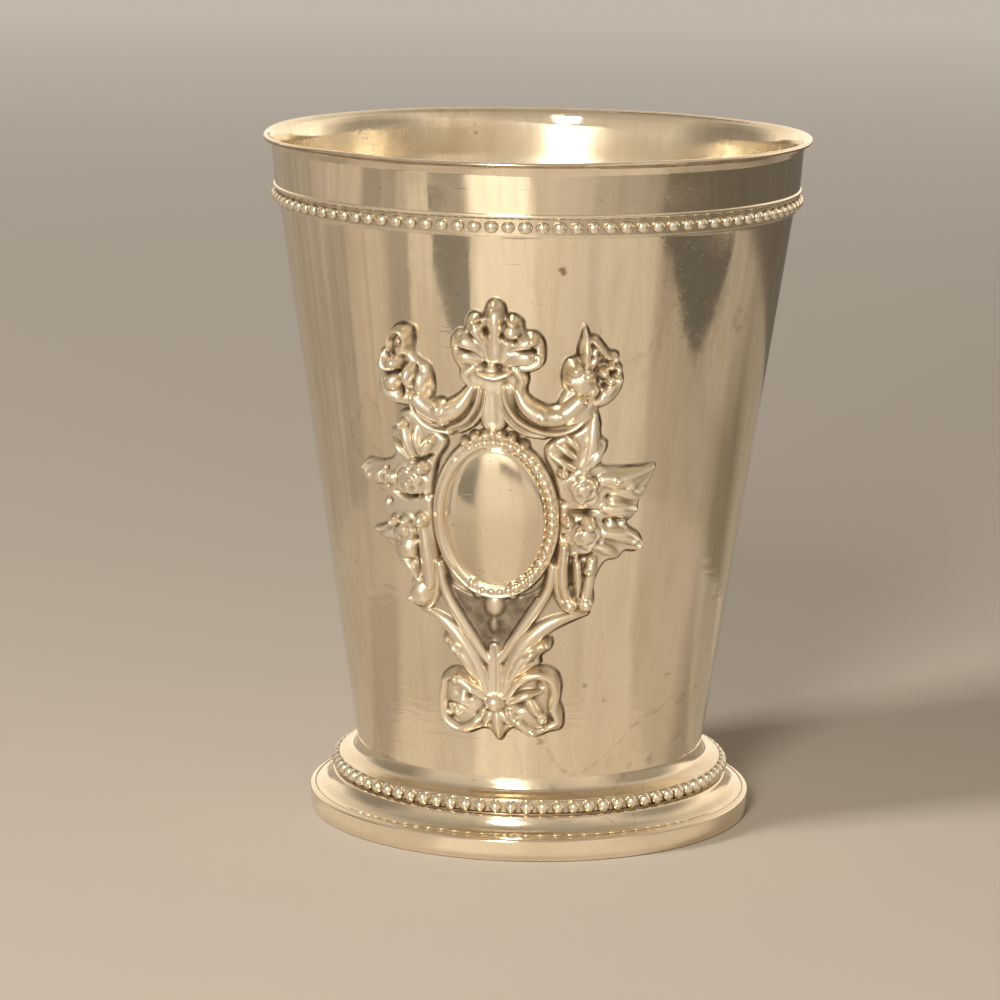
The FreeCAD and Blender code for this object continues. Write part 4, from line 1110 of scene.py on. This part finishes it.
def rose(place, radius, rise, turn):
    """Open rose: three rings of overlapping petals round a heart."""
    rings = ((1.0, 5, 0.44, 0.0), (0.70, 4, 0.30, 0.9), (0.40, 3, 0.20, 2.0))

    def at(u, z):
        r = np.hypot(u - place[0], z - place[1])
        angle = np.arctan2(z - place[1], u - place[0]) + turn
        total = np.zeros(u.shape)
        for size, petals, share, phase in rings:
            edge = radius * size * (0.80 + 0.20 * np.abs(np.sin(petals / 2 * (angle + phase))) ** 0.7)
            inner = np.clip((edge - r) / 0.45, 0, 1)
            roll = 0.75 + 0.25 * np.exp(-((edge - r - 0.5) / 0.4) ** 2)
            total += rise * share * inner * inner * (3 - 2 * inner) * roll
        total += 0.12 * rise * np.exp(-(r / (0.18 * radius)) ** 2)
        outside = radius * (0.80 + 0.20 * np.abs(np.sin(2.5 * angle)) ** 0.7)
        return np.where(r < outside, total, 1.6 * (outside - r))
    at.low, at.high = np.array(place) - radius, np.array(place) + radius
    return at


spray_right_forms = [
    ground([(14.2, 66.4), (15.0, 64.2), (14.5, 62.8), (15.9, 61.7), (15.6, 60.2), (14.6, 59.2),
            (15.4, 58.0), (17.2, 57.9), (20.0, 57.5), (23.4, 57.9), (22.5, 55.5), (21.2, 53.8),
            (20.6, 52.0), (19.8, 50.4), (18.8, 49.6), (19.3, 48.6), (20.8, 47.6), (21.2, 46.2),
            (20.4, 45.2), (18.6, 45.3), (17.5, 44.3), (15.6, 43.9), (14.3, 42.0), (13.7, 40.2),
            (13.8, 38.2), (12.8, 36.3), (10.6, 36.2), (8.9, 37.6), (8.3, 40.0), (8.4, 44.0), (8.9, 48.0),
            (9.0, 53.0), (8.2, 57.0), (7.2, 59.4), (7.4, 61.4), (9.6, 62.8), (12.0, 63.6)], 1.0),
    # the upper rose and its leaves
    rose((12.3, 55.0), 3.1, 3.0, 0.3), lump((13.5, 55.9), 0.9, 3.3), lump((9.5, 57.5), 0.9, 2.8),
    strip([(15.2, 56.2), (19.0, 56.3), (23.0, 57.5)], 1.5, 2.4, TIP), lump((17.0, 56.3), 0.8, 2.9),
    lump((19.0, 55.4), 1.1, 2.6), strip([(17.2, 54.6), (20.0, 53.8), (21.4, 54.4)], 1.2, 1.9, BLUNT),
    strip([(15.4, 52.0), (17.8, 51.7), (20.0, 51.4)], 1.3, 2.3, BLUNT),
    # the lower rose and its leaves
    rose((12.7, 48.1), 3.2, 3.0, 1.2), lump((12.9, 49.9), 1.2, 3.5), lump((10.1, 50.2), 1.0, 2.9),
    strip([(15.4, 48.3), (18.4, 47.7), (20.8, 46.5)], 1.2, 2.3, BLUNT), lump((19.4, 47.0), 0.7, 2.6),
    lump((20.5, 46.0), 0.7, 2.0), strip([(14.2, 46.4), (16.0, 45.6), (17.2, 44.8)], 0.9, 2.0, BLUNT),
    # the hanging bud
    strip([(9.6, 46.4), (9.3, 42.0), (10.0, 38.2)], 1.0, 2.3, EVEN),
    strip([(11.2, 45.0), (11.3, 41.5), (11.3, 38.8)], 0.75, 2.7, BLUNT),
    strip([(13.4, 44.4), (12.8, 41.0), (12.4, 38.4)], 1.05, 2.5, EVEN),
    lump((10.2, 37.8), 1.3, 2.8), lump((12.4, 37.9), 1.3, 2.9), lump((12.7, 42.8), 0.8, 3.0),
    # leaves over the roses
    strip([(12.6, 57.8), (13.6, 61.0), (14.0, 65.2)], 1.3, 2.0, BLUNT),
    strip([(13.2, 58.6), (14.5, 60.3), (15.5, 61.6)], 1.0, 2.5, TIP),
    strip([(11.0, 58.0), (9.2, 59.2), (7.9, 60.0)], 0.75, 2.2, BLUNT),
    strip([(11.2, 59.6), (9.8, 60.9), (8.6, 61.6)], 0.7, 2.1, BLUNT),
    strip([(11.6, 60.8), (10.7, 62.2), (9.9, 63.0)], 0.65, 1.9, BLUNT),
]
spray_right = casting("flower_spray_right_cast", spray_right_forms, [
    pit((15.6, 49.9), 0.5, 1.4), pit((16.0, 53.6), 0.45, 1.2), pit((14.4, 58.6), 0.4, 1.2),
    pit((17.4, 49.8), 0.5, 1.0),
    pit((9.4, 53.0), 0.45, 1.0), pit((9.6, 48.0), 0.4, 1.0), pit((10.2, 40.6), 0.3, 0.9),
    line_cut([(10.4, 51.6), (12.4, 51.5), (14.4, 51.7)], 0.35, 1.4),
    line_cut([(10.6, 44.6), (12.0, 44.9), (13.6, 45.2)], 0.25, 1.0),
    line_cut([(16.0, 50.4), (17.6, 50.1), (19.2, 50.0)], 0.22, 0.9)])
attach(spray_right, "root")
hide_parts("flower_spray_right")

spray_left_forms = [
    ground([(-12.4, 65.6), (-14.4, 64.7), (-14.2, 63.0), (-15.9, 62.1), (-15.0, 60.2), (-15.5, 58.2),
            (-17.6, 57.3), (-20.4, 57.2), (-21.5, 56.1), (-21.0, 54.8), (-19.0, 53.3), (-17.0, 52.4),
            (-17.7, 50.6), (-16.9, 49.2), (-17.4, 47.8), (-19.9, 46.7), (-17.8, 45.4), (-16.2, 44.4),
            (-15.2, 43.0), (-13.4, 42.2), (-12.7, 40.4), (-13.4, 37.4), (-12.4, 36.1), (-10.2, 36.3),
            (-8.8, 38.0), (-8.3, 41.0), (-8.5, 45.0), (-9.1, 50.0), (-9.0, 55.0), (-8.2, 58.6),
            (-6.8, 61.0), (-7.6, 62.6), (-10.0, 63.8)], 1.0),
    # the upper rose and its leaf
    rose((-12.5, 55.0), 3.2, 3.0, 0.8), lump((-12.1, 55.1), 0.8, 3.2), lump((-10.2, 57.4), 1.1, 3.2),
    strip([(-15.4, 55.2), (-18.4, 55.4), (-21.0, 55.8)], 1.5, 2.4, BLUNT), lump((-18.9, 55.4), 1.2, 2.8),
    # the lower rose and its leaf
    rose((-13.6, 47.7), 3.0, 2.7, 2.0), lump((-15.0, 48.8), 0.9, 3.0), lump((-13.0, 49.1), 0.9, 2.9),
    lump((-10.6, 49.4), 1.1, 2.8, 1.2), strip([(-15.4, 46.7), (-17.6, 46.6), (-19.5, 46.6)], 0.9, 1.7, TIP),
    # the hanging bud
    strip([(-10.5, 48.2), (-9.9, 44.0), (-9.6, 40.0)], 1.3, 2.1, EVEN), lump((-13.2, 44.9), 2.0, 2.3),
    strip([(-14.2, 43.6), (-12.4, 42.2), (-11.6, 40.2)], 0.85, 2.2, BLUNT),
    lump((-11.1, 38.5), 2.0, 2.5, 1.15), lump((-12.2, 37.7), 0.9, 2.8),
    # leaves over the roses
    strip([(-11.8, 59.0), (-12.6, 61.6), (-13.4, 64.0)], 0.95, 2.4, BLUNT), lump((-13.3, 63.6), 0.9, 2.8),
    strip([(-12.4, 58.8), (-13.8, 60.2), (-15.2, 61.3)], 0.75, 2.6, BLUNT),
    strip([(-10.4, 58.8), (-9.8, 60.4), (-8.6, 61.8)], 0.95, 2.1, BLUNT), lump((-8.7, 61.6), 0.8, 2.4),
    strip([(-10.8, 59.6), (-11.2, 61.6), (-11.2, 63.2)], 0.8, 2.0, BLUNT),
]
spray_left = casting("flower_spray_left_cast", spray_left_forms, [
    line_cut([(-15.0, 53.2), (-13.0, 52.6), (-10.6, 53.0)], 0.35, 1.6), pit((-16.2, 51.6), 0.5, 1.2),
    pit((-9.6, 53.0), 0.4, 1.0), pit((-11.4, 46.6), 0.45, 1.1), pit((-12.7, 41.0), 0.4, 1.2),
    line_cut([(-16.2, 56.8), (-16.6, 55.4), (-16.2, 53.8)], 0.22, 1.0),
    line_cut([(-11.4, 45.6), (-11.3, 43.4), (-10.9, 41.2)], 0.22, 0.9),
    line_cut([(-12.0, 57.8), (-10.0, 58.8), (-8.6, 59.4)], 0.25, 1.0)])
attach(spray_left, "root")
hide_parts("flower_spray_left")

# ---------------------------------------------------------------- strapwork
# The V of flat straps under the oval, with a sunk field between them, a stem down to the
# bow and a smooth arm to each side. The sunk field has kept its dark brown patina.
strap_forms = [
    ground([(-8.6, 44.0), (-6.4, 40.2), (-3.0, 38.6), (0.0, 38.2), (3.0, 38.6), (6.2, 40.2), (8.6, 44.0),
            (8.7, 41.0), (9.2, 38.0), (10.6, 36.8), (13.2, 36.3), (9.6, 34.4), (6.8, 33.0), (3.8, 29.8),
            (2.0, 26.2), (1.4, 23.0), (-1.8, 23.0), (-2.4, 26.0), (-4.2, 29.6), (-7.0, 33.2), (-9.0, 34.6),
            (-11.5, 36.0), (-9.4, 37.4), (-8.7, 41.0)], 0.45, soft=0.4),
    # the V: a strap with a fine line inside it, right and left
    strip([(8.0, 43.4), (7.2, 39.7), (5.0, 36.0), (2.4, 32.2), (0.6, 29.2)], 0.85, 1.7, EVEN),
    strip([(5.8, 38.6), (3.7, 35.1), (1.3, 31.2)], 0.4, 1.25, EVEN),
    strip([(-8.1, 43.0), (-7.3, 39.2), (-5.4, 35.5), (-2.9, 31.6), (-1.2, 29.0)], 0.85, 1.7, EVEN),
    strip([(-6.1, 37.8), (-4.2, 34.6), (-1.9, 31.0)], 0.4, 1.25, EVEN),
    # the smooth arms, and a short strap over each
    strip([(12.9, 36.1), (9.6, 35.5), (6.6, 34.0), (3.6, 31.0), (1.7, 27.2), (1.0, 23.4)], 1.3, 1.8,
          swell(0.2, 0.5, 0.7)),
    strip([(-11.3, 35.8), (-8.9, 35.2), (-6.3, 33.3), (-3.7, 29.8), (-2.1, 26.4), (-1.5, 23.4)], 1.25,
          1.8, swell(0.2, 0.5, 0.7)),
    strip([(8.6, 43.4), (8.6, 39.8), (9.6, 37.4), (11.8, 36.2)], 0.55, 1.7, EVEN),
    strip([(-8.5, 43.4), (-8.5, 39.8), (-8.9, 37.8), (-10.2, 36.2)], 0.5, 1.6, EVEN),
    # the stem, and the worn lumps in the sunk field
    strip([(-0.3, 31.0), (-0.3, 27.2), (-0.35, 23.4)], 1.15, 1.7, EVEN, hollow=0.3),
    lump((-0.2, 37.4), 1.7, 1.3, 1.25), lump((-0.3, 34.4), 1.0, 1.05, 1.5), lump((-2.4, 39.0), 1.0, 1.15),
    lump((2.4, 39.0), 0.9, 1.15),
]
straps = casting("strapwork_cast", strap_forms, patina=[
    (-7.4, 41.6), (-5.0, 40.0), (0.0, 39.2), (5.0, 40.0), (7.2, 42.0), (5.6, 37.8), (2.6, 33.0), (0.0, 29.6),
    (-1.2, 29.8), (-3.6, 33.2), (-6.0, 37.6)])
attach(straps, "root")
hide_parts("strapwork")

# ---------------------------------------------------------------- lower leaves
# A pair of narrow leaves that curl away from the stem just over the bow, cast and soldered
# against the straps.
leaf_left = casting("lower_leaf_left_cast", [
    ground([(-7.7, 32.4), (-6.4, 32.6), (-4.2, 30.8), (-2.4, 27.6), (-1.6, 24.8), (-3.2, 25.6),
            (-5.4, 28.2), (-6.4, 29.4), (-7.6, 30.8)], 1.0),
    strip([(-7.0, 31.7), (-5.4, 30.6), (-3.8, 28.4), (-2.4, 25.6)], 1.15, 2.3, BLUNT),
    lump((-5.6, 30.8), 1.0, 2.8, 1.7, 60)])
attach(leaf_left, "root")
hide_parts("lower_leaf_left")

leaf_right = casting("lower_leaf_right_cast", [
    ground([(7.7, 32.5), (6.2, 32.4), (4.0, 31.2), (2.0, 28.6), (1.2, 25.4), (2.8, 26.4), (4.4, 28.0),
            (6.0, 28.4), (6.2, 29.8), (7.6, 31.0)], 1.0),
    strip([(1.8, 26.0), (3.0, 28.6), (4.8, 30.4), (7.0, 31.8)], 1.1, 2.3, BLUNT),
    lump((4.7, 30.4), 0.85, 2.7, 1.8, -55), lump((7.0, 31.6), 0.75, 2.1),
    strip([(2.4, 26.8), (4.2, 28.4), (5.8, 28.9)], 0.85, 1.8, BLUNT)])
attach(leaf_right, "root")
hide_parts("lower_leaf_right")

# ---------------------------------------------------------------- ribbon bow
# A ribbon bow at the foot of the cartouche: two cupped loops with rolled edges, a round
# knot and a short fan of tails.
bow_forms = [
    ground([(1.0, 23.8), (2.2, 26.0), (4.0, 27.8), (6.6, 28.3), (8.5, 27.2), (9.1, 25.2), (8.7, 23.1),
            (9.3, 21.2), (9.1, 18.7), (7.2, 18.1), (5.4, 17.4), (3.2, 18.3), (2.2, 18.7), (1.2, 18.0),
            (0.2, 16.7), (-0.9, 18.1), (-2.2, 18.4), (-4.2, 17.6), (-6.2, 17.7), (-8.3, 19.0), (-8.6, 21.0),
            (-8.5, 24.0), (-7.7, 26.5), (-5.2, 27.5), (-2.8, 25.7), (-1.6, 23.8)], 0.9),
    # the right loop, its fold and its lower edge
    strip([(1.4, 23.6), (3.0, 25.9), (5.4, 27.1), (7.6, 26.4), (8.1, 24.2), (7.8, 22.0), (8.3, 20.0),
           (7.0, 19.0)], 0.85, 2.2, EVEN),
    strip([(1.6, 22.8), (4.0, 24.0), (6.2, 24.5)], 0.8, 2.4, BLUNT),
    strip([(4.4, 23.4), (5.3, 21.8), (6.4, 20.3)], 0.95, 2.1, BLUNT), lump((6.3, 20.4), 0.9, 2.5),
    strip([(1.8, 21.2), (3.4, 19.2), (5.2, 18.3), (7.2, 18.9)], 0.8, 1.9, BLUNT), lump((4.9, 18.2), 0.8, 2.2),
    # the left loop, its fold and its lower edge
    strip([(-1.6, 23.4), (-3.6, 25.0), (-5.8, 26.3), (-7.5, 25.8)], 1.0, 2.6, BLUNT),
    lump((-5.6, 26.2), 1.0, 2.9), lump((-3.4, 24.7), 0.85, 2.7),
    strip([(-7.6, 25.4), (-7.9, 22.6), (-7.5, 19.9), (-5.6, 18.4), (-3.4, 19.1), (-1.8, 21.4)], 0.75, 2.1,
          EVEN),
    lump((-5.2, 22.4), 1.9, 1.6, 1.1), lump((-5.5, 20.9), 0.8, 2.1), lump((-6.7, 20.7), 0.7, 1.9),
    lump((-4.5, 18.4), 0.8, 2.1),
    # the knot
    lump((-0.3, 22.8), 1.7, 2.8, 0.95),
    # the tails
    strip([(-0.1, 21.6), (0.1, 19.4), (0.2, 17.4)], 0.95, 1.9, BLUNT),
    strip([(-0.7, 21.4), (-1.4, 20.0), (-1.9, 18.9)], 0.7, 1.7, BLUNT),
    strip([(0.5, 21.4), (1.4, 20.0), (2.0, 19.1)], 0.7, 1.7, BLUNT),
]
bow = casting("ribbon_bow_cast", bow_forms, [
    pit((5.9, 25.5), 0.5, 0.9), pit((3.3, 22.2), 0.6, 1.0), pit((-3.9, 23.5), 0.5, 1.0),
    pit((-5.6, 23.6), 0.6, 0.5),
    line_cut([(-7.0, 22.0), (-5.6, 22.0), (-4.2, 21.4)], 0.25, 0.8), pit((2.6, 20.4), 0.4, 0.9),
    pit((-2.6, 20.6), 0.5, 0.9)])
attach(bow, "root")
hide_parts("ribbon_bow")
